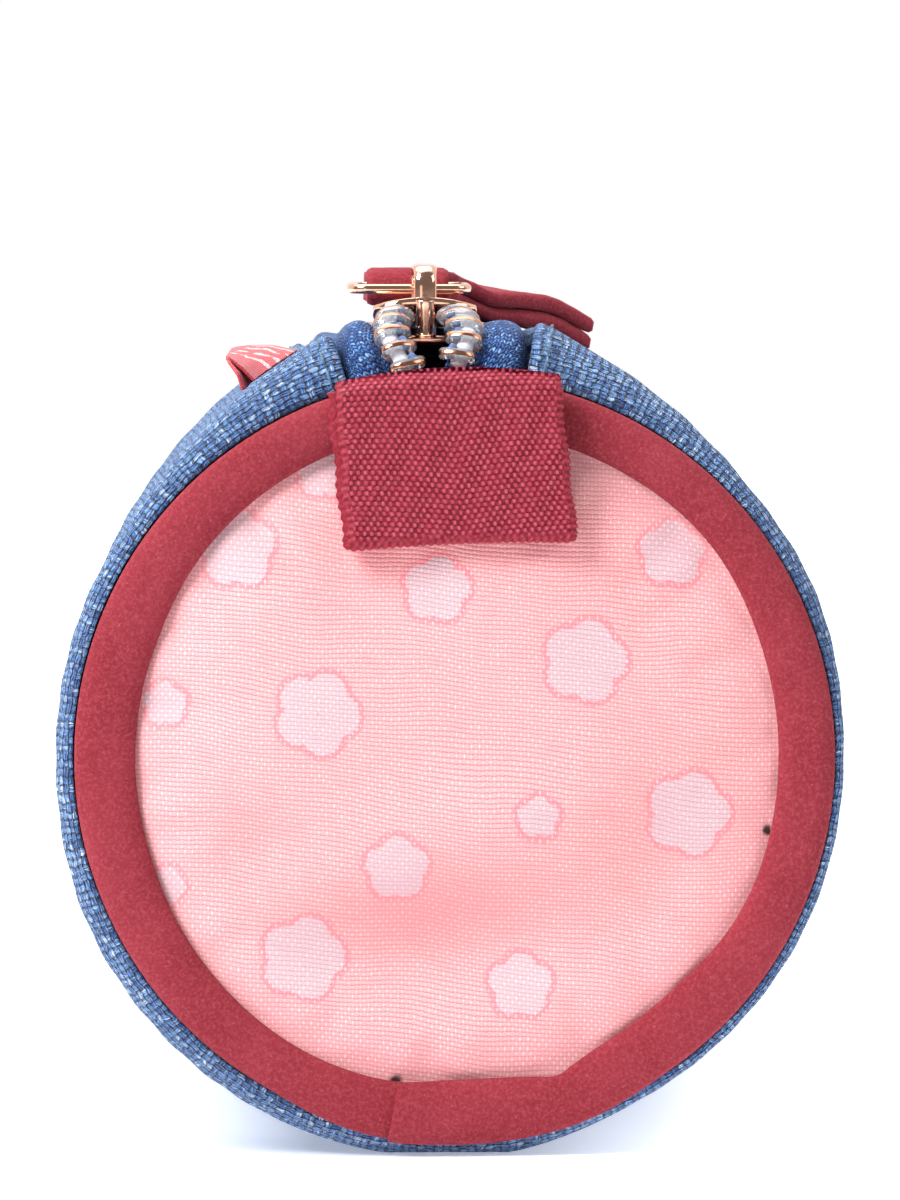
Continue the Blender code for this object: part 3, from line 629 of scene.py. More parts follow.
case = {
    "length": 210 * mm,
    "diameter": 80 * mm,
    "restWidth": 14 * mm,
    "wall": 1.8 * mm,
    "seamInset": 1.8 * mm,
    "rimRounding": 1.0 * mm,
    "zipOffset": 2.7 * mm,
    "zipOpening": 20.4 * mm,
    "openingOffset": 2.0 * mm,
    "foldRise": 4.1 * mm,
    "foldReach": 28 * mm,
    "foldCurve": 1.6,
    "foldThickness": 2.6 * mm,
    "foldBlend": 9 * mm,
    "clearance": 0.3 * mm,
    "thinClearance": 0.2 * mm,
}
outlineRows = [  # angle from the top, share of the radius
    (0, 1.000), (30, 1.005), (60, 1.000), (90, 0.980), (120, 0.985), (150, 0.985), (180, 1.015),
    (210, 1.018), (240, 1.015), (270, 1.000), (300, 1.005), (330, 1.005), (360, 1.000),
]
bodyRows = [  # share of the length, pull of the sides, sink of the top
    (0.00, 0.0, 0.0), (0.10, 0.1, 0.0), (0.30, 0.5, 0.3),
    (0.55, 0.7, 0.5), (0.80, 0.3, 0.2), (1.00, 0.0, 0.0),
]
radius = case["diameter"] / 2
seamRadius = radius - case["seamInset"]
frontFace = -case["length"] / 2


def outlineRadius(angle):
    return radius * readTable(outlineRows, np.degrees(angle) % 360)[..., 0]


axisHeight = math.sqrt(float(outlineRadius(np.pi)) ** 2 - (case["restWidth"] / 2) ** 2)


def foldAngle(side):
    across = side * case["zipOpening"] / 2 - case["openingOffset"]
    return math.asin(across / (radius + case["foldRise"]))


def nearTop(angle):
    # the same angle, between half a turn left and half a turn right of the top
    return (np.asarray(angle) + np.pi) % turnFull - np.pi


def fromFold(angle):
    turn = nearTop(angle)
    return radius * np.where(turn > 0, turn - foldAngle(1), foldAngle(-1) - turn)


def outerRadius(angle):
    rise = np.clip(1 - fromFold(angle) / case["foldReach"], 0, 1) ** case["foldCurve"]
    return outlineRadius(angle) + case["foldRise"] * rise


def wallAt(angle):
    share = ease(1 - fromFold(angle) / case["foldBlend"])
    return case["wall"] + (case["foldThickness"] - case["wall"]) * share


def straightRun(reference):
    # half the length that runs straight before the fabric turns in over the rim
    return case["length"] / 2 - (reference - seamRadius + case["rimRounding"])


def bendOver(across, height, degrees, reference, end):
    # a point of the straight part's end, carried round the rim by some degrees
    out = np.hypot(across, height)
    turn = math.radians(degrees)
    start = straightRun(reference)
    share = (seamRadius + (out - seamRadius) * math.cos(turn)) / out
    along = start + (out - seamRadius + case["rimRounding"]) * math.sin(turn)
    return together(across * share, end * along, axisHeight + height * share)


def softSection(along, across, height):
    # a point of the straight part, pulled in and sunk as in the solids
    pull, sink = readTable(bodyRows, along)
    out = np.hypot(across, height)
    change = -case["wall"] * (pull * (across / out) ** 2 + sink * np.maximum(height / out, 0) ** 4)
    share = (out + change) / out
    return across * share, height * share


ridgeRadius = float(outerRadius(foldAngle(1)))
zipRun = straightRun(ridgeRadius)


# Fabric body

fabric = {
    "points": 232,  # round the outside
    "nosePoints": 8,
    "noseDepth": 0.9 * mm,
    "stations": 96,
    "bendSteps": 11,
    "slack": 0.3 * mm,
    "slackEnd": (0.4, 10 * mm, 30 * mm),  # share of it at the rims; where and over what length it grows
    "puckers": 47,  # small gathers round each rim
    "pucker": 0.2 * mm,
    "puckerReach": 7 * mm,
    "waist": 0.7 * mm,  # how far the sides fall in behind the stiff rims
    "waistFrom": (6 * mm, 14 * mm),  # from the end, where it starts and is full, and where it fades
    "waistTo": (18 * mm, 34 * mm),
    "floorFlat": (0.82, 0.12),  # cosine from straight down where it starts to lie flat, and over how much
    "foldCalm": 20 * mm,  # the fabric is smooth this near to the folds and to the rims
    "rimCalm": 6 * mm,
    "peak": (0.45 * mm, 1.3 * mm),  # lift of the folds' corners, left and right
    "peakReach": (2.6 * mm, 6 * mm),  # how far that goes across and back
}


def bodyLoop():
    # angle, depth below the outside as a share of the wall, for one closed section
    start, end = foldAngle(1), turnFull + foldAngle(-1)
    inset = fabric["noseDepth"] / ridgeRadius
    angles = start + inset + (end - start - 2 * inset) * np.linspace(0, 1, fabric["points"])
    turn = np.radians(np.linspace(0, 90, fabric["nosePoints"] + 1)[:-1])
    bow, deep = 1 - np.cos(turn), 0.5 - 0.5 * np.sin(turn)
    angles = np.concatenate([start + inset * bow, angles, (end - inset * bow)[::-1]])
    depths = np.concatenate([deep, np.zeros(fabric["points"]), deep[::-1]])
    return np.concatenate([angles, angles[::-1]]), np.concatenate([depths, (1 - depths)[::-1]])


def cornerPeak(angle, nearEnd):
    lift = np.where(nearTop(angle) > 0, fabric["peak"][1], fabric["peak"][0])
    reachAcross, reachBack = fabric["peakReach"]
    across = (fromFold(angle) - 1.0 * mm) / reachAcross
    return lift * np.exp(-(across**2) - (nearEnd / reachBack) ** 2)


def slackAt(angles, place, nearEnd):
    # long shallow waves with smaller ones on them; far from the rims the cloth sinks in more
    rim, start, over = fabric["slackEnd"]
    here = np.full(len(angles), place)
    waves = ripple(4, 7, angles, here * 4.2, 0.7, 2.6) + 0.4 * ripple(9, 6, angles * 3, here * 9, 0.8, 2.2)
    far = (1 + rim) * ease((nearEnd - start) / over)
    gather = np.cos(angles * fabric["puckers"] + 1.4 * np.sin(angles * 5))
    gather = gather * np.exp(-nearEnd / fabric["puckerReach"])
    return fabric["slack"] * (waves * (rim + far) - far) - fabric["pucker"] * (gather + 0.6)


def makeBody():
    angles, depths = bodyLoop()
    outer, wall = outerRadius(angles), wallAt(angles)
    bends = np.linspace(90, 0, fabric["bendSteps"])
    straight = np.linspace(0, 1, fabric["stations"])[1:-1]
    stations = [(d, -1, 0) for d in bends] + [(0, 0, s) for s in straight] + [(d, 1, 0) for d in bends[::-1]]
    loops = []
    run = straightRun(outer)
    flatFrom, flatOver = fabric["floorFlat"]
    offFloor = 1 - ease((-np.cos(angles) - flatFrom) / flatOver)
    for degrees, end, share in stations:
        place = end if end else -1 + 2 * share
        nearEnd = (1 - abs(place)) * case["length"] / 2
        nearEnd = nearEnd + (case["length"] / 2 - run) * math.cos(math.radians(degrees))
        soft = ease(fromFold(angles) / fabric["foldCalm"]) * ease(1 - np.abs(degrees) / 90) * offFloor
        waist = between(*fabric["waistFrom"], nearEnd) * (1 - between(*fabric["waistTo"], nearEnd))
        slack = slackAt(angles, place, nearEnd) * ease(nearEnd / fabric["rimCalm"])
        relief = (slack - fabric["waist"] * waist) * soft
        relief = relief + cornerPeak(angles, nearEnd) * ease(1.3 - np.abs(degrees) / 90)
        level = outer - wall * depths + relief
        x, h = level * np.sin(angles), level * np.cos(angles)
        h = np.maximum(h, wall * depths - axisHeight)  # flat where it stands on the floor
        if end:
            loops.append(bendOver(x, h, degrees, outer, end))
        else:
            x, h = softSection(share, x, h)
            loops.append(together(x, run * place, axisHeight + h))
    loops = np.array(loops)
    return addLoops(
        "body_fabric", loops, flip=True, values=clothAt(angles * radius, walked(loops)),
        nodes=["body_shell"], slot="blue_fabric", finish=blueFabric,
    )


body = makeBody()
print("body made")


# Round ends

ends = {
    "thickness": 1.6 * mm,
    "dome": 3.0 * mm,
    "dent": 2.8 * mm,
    "bindingWidth": 5.6 * mm,
    "bindingThickness": 1.5 * mm,
    "rings": (84, 56),  # front and back
    "segments": (400, 288),
    "crease": 0.16 * mm,
    "fade": 0.25,  # share of the radius over which dents and creases die out
    "seamShade": (0.84, 0.14),  # share of the radius where the cloth starts to turn down and the painted shade beside the binding begins, and over how much
    "gathers": 23,
    "gatherReach": 3.2 * mm,
    "petalOut": 0.51,  # a petal's middle and radius, as shares of the flower's radius
    "petalSize": 0.485,
    "backSpin": 2.4,  # the back end is cut from another place in the print
    "bandStart": 190.0,  # degrees from the top where the binding starts, and how far it goes round
    "bandSweep": 368.0,
    "bandSteps": 560,
    "bandFace": 15,
    "overlap": 0.5 * mm,  # how far its ends are lifted and tucked in where they overlap
    "lifted": 26,  # degrees over which the upper end comes down
    "tucked": (14, 10),  # degrees from the lower end where it goes under, and over how many
    "spill": 0.75 * mm,  # how much further out it reaches at the bottom
    "spillAt": (178, 34),  # degrees where that is most, and how far it goes each way
    "bandWave": 0.05 * mm,
}
dentRows = [  # right, up, half width and half height as shares of the panel's radius, share of the depth
    (-0.08, -0.60, 0.62, 0.24, 1.0), (0.62, -0.36, 0.34, 0.34, 0.5), (-0.62, -0.30, 0.26, 0.2, 0.35),
    (0.05, -0.22, 0.5, 0.26, -0.35), (-0.30, 0.50, 0.3, 0.3, 0.35), (0.52, 0.42, 0.24, 0.34, 0.12),
]
flowers = [  # right, up and radius in millimetres from the end's middle, turn in degrees
    (-21.8, 20.9, 3.9, 18), (-1.9, 16.9, 3.3, 10), (21.7, 20.4, 3.3, 14), (12.9, 9.7, 4.2, 3),
    (-13.8, 4.5, 4.2, 66), (-29.0, 5.4, 2.2, 18), (23.3, -5.6, 4.2, 1), (8.2, -5.9, 2.1, 18),
    (-5.9, -10.9, 3.2, 18), (-28.9, -12.8, 1.9, 0), (-15.2, -20.0, 4.2, 2), (6.5, -22.8, 3.2, 18),
    (-13.0, 28.9, 3.0, 18), (1.5, 29.4, 4.1, 40),
]
bindingRows = [  # angle, inner radius in millimetres
    (0, 32.7), (30, 33.0), (50, 33.2), (70, 32.6), (90, 32.4), (120, 32.5), (140, 31.9), (149, 32.2),
    (155, 32.5), (159, 33.0), (162, 33.5), (166, 33.0), (171, 32.5), (180, 32.3), (190, 33.0), (200, 33.1),
    (230, 32.5), (260, 31.8), (280, 31.7), (310, 32.4), (340, 32.7), (360, 32.7),
]
# where the front seam gapes and painted shade darkens the cloth
seamGaps = [(-5.9, -32.25, 0.8, 0.5), (31.3, -7.4, 0.5, 0.6)]  # right, up, half width, half height


def flowerEdge(x, z):
    # distance inside the nearest flower's edge, in millimetres; a flower is five round petals
    best = np.full(np.shape(x), -9.0)
    for right, up, size, turn in flowers:
        for petal in range(5):
            way = math.radians(turn + 72 * petal)
            dx = x / mm - right - size * ends["petalOut"] * math.cos(way)
            dz = z / mm - up - size * ends["petalOut"] * math.sin(way)
            best = np.maximum(best, size * ends["petalSize"] - np.hypot(dx, dz))
    return best


def seamGapShadeAt(x, z):
    spots = [np.exp(-(((x / mm - a) / w) ** 2) - ((z / mm - b) / h) ** 2) for a, b, w, h in seamGaps]
    return np.sum(spots, axis=0)


def dentsAt(x, z, down=0.0, sharp=2.0, least=-1.0):
    # share of the dents' depth at a place; down moves them, and least leaves the bulges out
    total = 0
    for right, up, wide, high, share in dentRows:
        away = np.hypot((x - right) / wide, (z - up) / high - down)
        total = total + max(share, least) * np.exp(-away * away * sharp)
    return total


drape = {
    "rings": 20,
    "segments": 72,
    "scale": 16,  # the cloth is worked at this many times its size
    "pressure": 3.0,
    "extra": 0.03,  # spare cloth, as a share of its length
    "frames": 20,
    "gravity": 0.25,
}


def drapeEnd(free):
    # loose round cloth sewn down along its edge and pushed out from inside; gives its height by ring and turn
    rings, segments = drape["rings"], drape["segments"]
    turn = fullTurn(segments)
    out = np.arange(1, rings + 1)[:, None] / rings * free * drape["scale"]
    depth = 0.5 * ends["dome"] * drape["scale"]
    sunk = -depth * (1 - (out / out[-1]) ** 2)
    points = together(out * np.sin(turn), sunk, out * np.cos(turn)).reshape(-1, 3)
    points = np.concatenate([points, [[0, -depth, 0]]])
    faces = loopFaces(rings, segments, cap=None).tolist()
    faces += [[i, (i + 1) % segments, rings * segments] for i in range(segments)]
    mesh = bpy.data.meshes.new("drapedEnd")
    mesh.from_pydata(points.tolist(), [], faces)
    sheet = putInScene("drapedEnd", mesh)
    sewn = sheet.vertex_groups.new(name="sewn")
    sewn.add([(rings - 1) * segments + i for i in range(segments)], 1.0, "REPLACE")
    cloth = sheet.modifiers.new("cloth", "CLOTH")
    settings = cloth.settings
    settings.vertex_group_mass = "sewn"
    settings.use_pressure, settings.uniform_pressure_force = True, drape["pressure"]
    settings.shrink_min = -drape["extra"]
    settings.effector_weights.gravity = drape["gravity"]
    cloth.point_cache.frame_start, cloth.point_cache.frame_end = 1, drape["frames"]
    scene = bpy.context.scene
    for step in range(1, drape["frames"] + 1):
        scene.frame_set(step)
    shaped = sheet.evaluated_get(bpy.context.evaluated_depsgraph_get())
    places = np.empty(len(mesh.vertices) * 3)
    shaped.data.vertices.foreach_get("co", places)
    heights = -places.reshape(-1, 3)[:, 1] / drape["scale"]
    bpy.data.objects.remove(sheet)
    bpy.data.meshes.remove(mesh)
    scene.frame_set(1)
    grid = np.concatenate([np.full((1, segments), heights[-1]), heights[:-1].reshape(rings, segments)])
    return grid * ends["dome"] / max(float(heights[-1]), 1e-6)


def drapedHeight(grid, share, turn):
    # reads the draped grid, eased between its points
    ring = np.clip(share, 0, 1) * (len(grid) - 1)
    low = np.minimum(ring.astype(int), len(grid) - 2)
    column = turn / turnFull * grid.shape[1]
    left = column.astype(int)
    across, up = column - left, ring - low
    across = ease(across) * 0.5 + across * 0.5
    left, right = left % grid.shape[1], (left + 1) % grid.shape[1]
    near = grid[low, left] * (1 - across) + grid[low, right] * across
    far = grid[low + 1, left] * (1 - across) + grid[low + 1, right] * across
    return near * (1 - up) + far * up


draped = drapeEnd(seamRadius - case["clearance"] - ends["bindingWidth"])
print("ends draped" if draped is not None else "drape left out")


def makePanel(name, end, seed):
    outside = seamRadius - case["clearance"]
    free = outside - ends["bindingWidth"]
    front = end < 0
    count, segments = (ends[key][0 if front else 1] for key in ("rings", "segments"))
    rings = np.concatenate([np.linspace(0.004, 1, count) * free, np.linspace(free, outside, 9)[1:]])
    out, around = np.meshgrid(rings, fullTurn(segments), indexing="ij")
    x, z = out * np.sin(around), out * np.cos(around)
    if draped is None:
        bulge = ends["dome"] * np.maximum(0, 1 - (out / free) ** 2)
    else:
        bulge = drapedHeight(draped, out / free, around)
    fade = ease((1 - out / free) / ends["fade"])
    # small gathers where the cloth runs under the binding
    gather = np.sin(around * ends["gathers"] + 2 * np.sin(around * 3 + seed))
    gather = gather * np.exp(-(free - out) / ends["gatherReach"])
    crease = gather * 0.6 * (out < free) + ripple(seed, 6, x / mm, z / mm, 0.1, 0.3) * fade
    bulge = bulge - ends["dent"] * dentsAt(x / free, z / free) * fade + ends["crease"] * crease

    def layer(depth):
        y = end * (-frontFace + bulge * (out <= free) - depth)
        return together(x * -end, y, axisHeight + z)

    top, low = layer(0), layer(ends["thickness"])[::-1]
    loops = np.concatenate([top, low[:1], low[::6], low[-1:]])
    right, up = loops[..., 0] * -end, loops[..., 2] - axisHeight
    shadeFrom, shadeOver = ends["seamShade"]
    spin = 0 if front else ends["backSpin"]
    spun = right * math.cos(spin) + up * math.sin(spin), up * math.cos(spin) - right * math.sin(spin)
    values = {
        **clothAt(right, up + right * 0.1),
        "flowerEdge": flowerEdge(*spun),
        "seamGap": seamGapShadeAt(right, up) * front,
        # painted shade over the front end's dents
        "hollow": dentsAt(right / free, up / free, 0.55, 2.2, 0) * front,
        "nearSeam": ease((np.hypot(right, up) / free - shadeFrom) / shadeOver),
    }
    return addLoops(
        name, loops, cap="flat", values=values,
        nodes=[name.replace("_cloth", "_panel")], slot="pink_print", finish=pinkPrint,
    )


def makeBinding(name, end, seed):
    # flat band, drawn from the overlap at the bottom and up the right side first
    swept = np.linspace(0, ends["bandSweep"], ends["bandSteps"])[:, None]
    turned = (ends["bandStart"] - swept) % 360
    lift = ends["overlap"] * (1 - ease(swept / ends["lifted"]))
    (tuckFrom, tuckOver), (spillMost, spillReach) = ends["tucked"], ends["spillAt"]
    tuck = ends["overlap"] * ease((swept - ends["bandSweep"] + tuckFrom) / tuckOver)
    low = np.clip(1 - np.abs(turned - spillMost) / spillReach, 0, 1)
    spill = ends["spill"] * ease(low / 0.6) + 0.25 * mm * (1 - ease(swept / 9))
    outside = seamRadius - case["clearance"] / 2 + spill
    width = outside - flowTable(bindingRows, turned[:, 0]) * mm
    width = np.minimum(width, ends["bindingWidth"] + 0.5 * mm + spill)
    face = np.linspace(0, 1, ends["bandFace"])
    crown = 1 - np.abs(face * 2 - 1) ** 3.2
    draw = np.radians(ends["bandStart"] - swept)
    wave = ends["bandWave"] * (np.sin(draw * 31 + seed) + np.sin(draw * 13))
    bottom = case["clearance"] * 0.6 + lift * 0.9 - tuck * 0.4 + spill * 0.25
    height = ends["bindingThickness"] * (0.42 + 0.5 * crown) + wave * crown
    proud = np.concatenate([bottom + height, bottom + (1 - crown) * 0.25 * mm], axis=1)
    out = outside - face * width
    out = np.concatenate([out, out[:, ::-1]], axis=1)
    loops = together(out * np.sin(draw) * -end, end * (-frontFace + proud), axisHeight + out * np.cos(draw))
    return addLoops(
        name, loops, flip=end > 0,
        nodes=[name.replace("_band", "_binding")], slot="burgundy_suede", finish=suede,
    )


for end, label in ((-1, "front"), (1, "back")):
    panel = makePanel(label + "_cloth", end, 3 if end < 0 else 8)
    makeBinding(label + "_band", end, 1.0 + end)
print("ends made")


# Zip: tape, coil and stitches

zipSizes = {
    "tape": 0.6 * mm,
    "tapeRise": 2.4 * mm,
    "hump": 0.8 * mm,
    "tuck": 3.0 * mm,
    "rowWidth": 2.6 * mm,
    "rowHeight": 1.8 * mm,
    "overhang": 0.13 * mm,
    "rowGap": 0.3 * mm,
    "sliderSpread": 3.1 * mm,
    "looseSpread": 4.0 * mm,
    "endSpread": 2.6 * mm,
    "pitch": 1.3 * mm,
    "wireAlong": 0.43 * mm,  # half of the flattened wire, along the row and outwards
    "wireOut": 0.29 * mm,
    "headReach": 0.3 * mm,
    "sunk": 0.18 * mm,  # how far the coil is drawn down onto its tape
    "perTurn": 20,  # points on one turn, and round the wire
    "wireSides": 16,
    "lean": 0.2 * mm,
    "cord": 0.6 * mm,
    "rowStart": 0.5 * mm,  # where the first turn stands, and how far from the end the last one
    "rowEnd": 1.6 * mm,
    "cordInset": 0.7 * mm,
    "stitchSpan": 0.34,  # half of a stitch, as a share of the turn that it spans
    "freePitch": 0.35,  # how much wider its turns stand round the front end, where it runs free
    "freeWidth": 0.32,
    "freeWire": 0.45,
    "freeUntil": 13 * mm,
    "freeFade": 4 * mm,
    "tapeSteps": 44,  # points across the tape
}
slider = {
    "length": 11.5 * mm,
    "width": 10.4 * mm,
    "setback": 8 * mm,
    "lowerWidth": 9.4 * mm,
    "closing": 0.85,
    "plate": 0.85 * mm,
    "crown": 0.8 * mm,
    "underCrown": 0.3 * mm,
    "flange": 1.3 * mm,
    "flangeWall": 0.45 * mm,
    "post": 2.8 * mm,
    "postSetback": 1.6 * mm,
    "bridgeWidth": 2.5 * mm,
    "bridgeBar": 0.8 * mm,
    "bridgeLength": 8.4 * mm,
    "bridgeSetback": 5.5 * mm,
    "bridgeRoom": 2.5 * mm,
    "bridgeCorner": 0.95 * mm,
    "bridgeRound": 2.2 * mm,  # how far up its front leg is a round bar, and over what length it flattens
}
tapeRows = [(0.00, 0.0), (0.28, 0.8), (0.62, 1.0), (0.90, 0.4)]  # share across, share of the hump
tapeLevel = radius + zipSizes["tapeRise"]
coilLevel = tapeLevel + zipSizes["tape"] + case["thinClearance"]
coilTop = coilLevel + zipSizes["rowHeight"]
nose = frontFace + slider["setback"]


def rowSpread(along, degrees):
    # how far each row of coil stands from the zip's middle line
    meshed = (zipSizes["rowWidth"] + zipSizes["rowGap"]) / 2
    held, loose, sewn = zipSizes["sliderSpread"], zipSizes["looseSpread"], zipSizes["endSpread"]
    if degrees > 0:
        if degrees < 45:
            return held + (loose - held) * float(ease(degrees / 45))
        return loose + (sewn - loose) * float(ease((degrees - 45) / 45))
    parted = nose + slider["postSetback"] + slider["post"] / 2 + case["clearance"]
    closed = nose + slider["length"] * slider["closing"]
    return held + (meshed - held) * float(ease((along - parted) / (closed - parted)))


def zipStations(first, straight):
    # degrees round the rim, which end and place along, from the front seam to the back one
    bends = np.linspace(first, 0, 14)
    behind = nose + slider["length"] + 4 * mm
    places = [*np.linspace(-zipRun, behind, 26)[1:], *np.linspace(behind, zipRun, straight)[1:-1]]
    front, back = [(d, -1, -zipRun) for d in bends], [(d, 1, zipRun) for d in bends[::-1]]
    return front + [(0, 0, y) for y in places] + back


def zipPoint(across, height, station):
    degrees, end, along = station
    across = np.asarray(across, float) - case["zipOffset"]
    height = np.asarray(height, float) + 0 * across
    if end:
        return bendOver(across, height, degrees, ridgeRadius, end)
    x, h = softSection((along + zipRun) / (2 * zipRun), across, height)
    return together(x, along, axisHeight + h)


def spreadAt(station):
    degrees, end, along = station
    return rowSpread(along, degrees if end < 0 else 0)


def makeTape(name, side):
    lip = ridgeRadius - case["foldThickness"]
    thick, gap = zipSizes["tape"], case["clearance"]
    outside = side * (lip * math.sin(foldAngle(side)) + case["zipOffset"]) - gap - thick
    belowLip = lip * math.cos(foldAngle(side)) - gap - thick
    track = slider["width"] / 2 + gap
    away = side * (outside + zipSizes["tuck"]) - case["zipOffset"]
    angle = math.asin(away / lip)
    tucked = float(outerRadius(angle) - wallAt(angle)) - gap - thick
    loops, reach = [], []
    for station in zipStations(first=90, straight=90):
        inner = spreadAt(station) - zipSizes["rowWidth"] / 2 + zipSizes["overhang"]
        knots = [(inner, tapeLevel)]
        for share, lift in tapeRows:
            knots.append((track + (outside - track) * share, tapeLevel + lift * zipSizes["hump"]))
        knots += [(outside, (tapeLevel + belowLip) / 2), (outside + thick * 0.3, belowLip)]
        knots += [(outside + zipSizes["tuck"], math.sqrt(tucked**2 - away**2))]
        fine, line, normal = smoothLine(np.array(knots), zipSizes["tapeSteps"], rounds=2)
        section = np.concatenate([line + normal * thick, line[::-1]])
        loops.append(zipPoint(side * section[:, 0], section[:, 1], station))
        reach.append([*fine, *fine[::-1]])
    loops, reach = np.array(loops), np.array(reach)
    return addLoops(
        name, loops, flip=side < 0, values=clothAt(reach, walked(loops[:, 10])[:, None]),
        nodes=[name.replace("zip_tape", "tape")], slot="blue_tape", finish=zipTape,
    )


def coilLine(side):
    # length of the row along its sewing, and what gives its middle and the ways sideways, up and on
    stations = zipStations(first=89, straight=400)
    height = coilLevel + zipSizes["rowHeight"] / 2 - zipSizes["sunk"] / 2

    def line(out, level):
        return np.array([zipPoint(side * (spreadAt(s) + out), level, s) for s in stations])

    middle, sewn = line(0, height), line(0, coilLevel)
    walk = walked(sewn)
    lines = middle, unit(line(1 * mm, height) - middle), unit(middle - sewn), np.gradient(middle, axis=0)

    def at(places):
        centre, *ways = (onLine(walk, values, places) for values in lines)
        return [centre, *map(unit, ways)]

    return walk[-1], at


def freeShare(place):
    # 1 where the coil runs free round the front end, 0 from the slider on
    return ease((zipSizes["freeUntil"] - place) / zipSizes["freeFade"])


def makeCoil(side, label):
    length, at = coilLine(side)
    pitch, perTurn, sides = (zipSizes[key] for key in ("pitch", "perTurn", "wireSides"))
    starts = [zipSizes["rowStart"] + (0.5 * pitch if side > 0 else 0)]
    while starts[-1] < length - zipSizes["rowEnd"]:
        starts.append(starts[-1] + pitch * (1 + zipSizes["freePitch"] * float(freeShare(starts[-1]))))
    turns = len(starts) - 1
    phase = np.arange(turns * perTurn + 1) / perTurn
    places = np.interp(phase, np.arange(turns + 1), starts)
    swell = 1 + zipSizes["freeWidth"] * freeShare(places)
    wide, thin = zipSizes["wireAlong"], zipSizes["wireOut"]
    centre, sideways, up, forward = at(places)
    turned, lifted = np.cos(phase * turnFull), np.sin(phase * turnFull)
    # each turn is an oval whose head reaches over towards the other row
    half = zipSizes["rowWidth"] / 2 * swell - thin
    tall = (zipSizes["rowHeight"] + zipSizes["sunk"]) / 2 * (0.6 + 0.4 * swell) - thin
    head = np.clip(-turned, 0, 1) ** 3 * zipSizes["headReach"]
    points = centre + sideways * (half * turned - head)[:, None] + up * (tall * lifted)[:, None]
    points = points + forward * (zipSizes["lean"] * turned)[:, None] + up * (tall - tall[-1])[:, None]
    outs = unit(sideways * (turned * tall)[:, None] + up * (lifted * half)[:, None])
    girth = wide * (1 + zipSizes["freeWire"] * freeShare(places))
    loops = tubeLoops(points, outs, girth, sides, flat=thin / wide)
    gold = np.broadcast_to(np.cos(fullTurn(sides)), loops.shape[:2])  # the wire's outer face is plated
    addLoops(
        "zip_coil_" + label, loops, values={"goldFace": gold},
        nodes=["coil_" + label], slot="clear_coil", finish=coilPlastic,
    )
    # cord that fills the coil, and the sewing that holds the coil down
    fine = np.linspace(zipSizes["cordInset"], length - zipSizes["cordInset"], 900)
    core, coreOut, coreUp, _ = at(fine)
    girth = 1 + 0.07 * np.cos(fine / pitch * turnFull) + 0.05 * np.sin(fine * 5200) * np.sin(fine * 1700)
    girth = girth * (1 + 0.4 * freeShare(fine))
    rope = tubeLoops(core + coreOut * 0.2 * mm, coreUp, zipSizes["cord"] * girth, 12, flat=0.8)
    addLoops("zip_cord_" + label, rope, slot="clear_coil", finish=coilCord)
    stitches = []
    reach = np.linspace(-1, 1, 8)
    for first, last in zip(starts[:-1], starts[1:]):
        c, a, n, _ = at((first + last) / 2 + reach * zipSizes["stitchSpan"] * (last - first))
        free = float(freeShare(first))
        rise = 0.22 * mm + (0.3 + 0.05 * free) * mm * np.sqrt(np.clip(1 - reach * reach * 0.9, 0, 1))
        girth = (0.3 + 0.16 * free) * mm * np.clip(1.04 - reach**4, 0, 1) ** 0.4
        place = c - a * (0.24 + 0.1 * free) * zipSizes["rowWidth"] + n * rise[:, None]
        stitches.append(tubeLoops(place, n, girth, 8))
    addTubes("coil_stitches_" + label, stitches, slot="blue_tape", finish=thread)


stitchLine = {
    "fromFold": 1.6 * mm,
    "length": 2.1 * mm,
    "gap": 0.55 * mm,
    "thread": 0.14 * mm,
    "dive": 0.4 * mm,  # how deep each stitch goes into the fabric at its ends
}


def makeFoldStitches(side, label):
    # thread that holds the folded edge down, running along it and over both rims
    angle = foldAngle(side) + side * stitchLine["fromFold"] / radius
    level = float(outerRadius(angle % turnFull))
    run = straightRun(level)
    x, h = np.array([level * math.sin(angle)]), np.array([level * math.cos(angle)])
    front, back = ([bendOver(x, h, d, level, end)[0] for d in np.linspace(86, 0, 24)] for end in (-1, 1))
    middle = []
    for share in np.linspace(0, 1, 160)[1:-1]:
        (sx,), (sh,) = softSection(share, x, h)
        middle.append([sx, run * (2 * share - 1), axisHeight + sh])
    points = np.array(front + middle + back[::-1])
    outward = points - np.array([0, 0, axisHeight])
    outward[:, 1] = 0
    # round the rims the thread turns with the fabric
    bend = np.clip((np.abs(points[:, 1]) - run) / (case["length"] / 2 - run), 0, 1)
    outward = unit(outward) * np.cos(bend * math.pi / 2)[:, None]
    outward[:, 1] = np.sin(bend * math.pi / 2) * np.sign(points[:, 1])
    nearEnd = case["length"] / 2 - np.abs(points[:, 1])
    points = points + outward * cornerPeak(angle % turnFull, nearEnd)[:, None]
    walk = walked(points)
    step = stitchLine["length"] + stitchLine["gap"]
    stitches = []
    for i in range(int(walk[-1] / step)):
        share = np.linspace(0, 1, 9)
        s = 0.3 * mm + i * step + share * stitchLine["length"]
        c, n = onLine(walk, points, s), unit(onLine(walk, outward, s))
        dip = np.clip(np.abs(share * 2 - 1) * 1.6 - 0.6, 0, 1) ** 2
        c = c + n * (0.1 * mm - dip * stitchLine["dive"])[:, None]
        stitches.append(tubeLoops(c, n, stitchLine["thread"] * (1 - dip * 0.4), 8, flat=0.8))
    addTubes("fold_stitches_" + label, stitches, slot="blue_fabric", finish=paleThread)


for side, label in ((-1, "left"), (1, "right")):
    makeTape("zip_tape_" + label, side)
    makeCoil(side, label)
    makeFoldStitches(side, label)
print("zip made")


# Slider

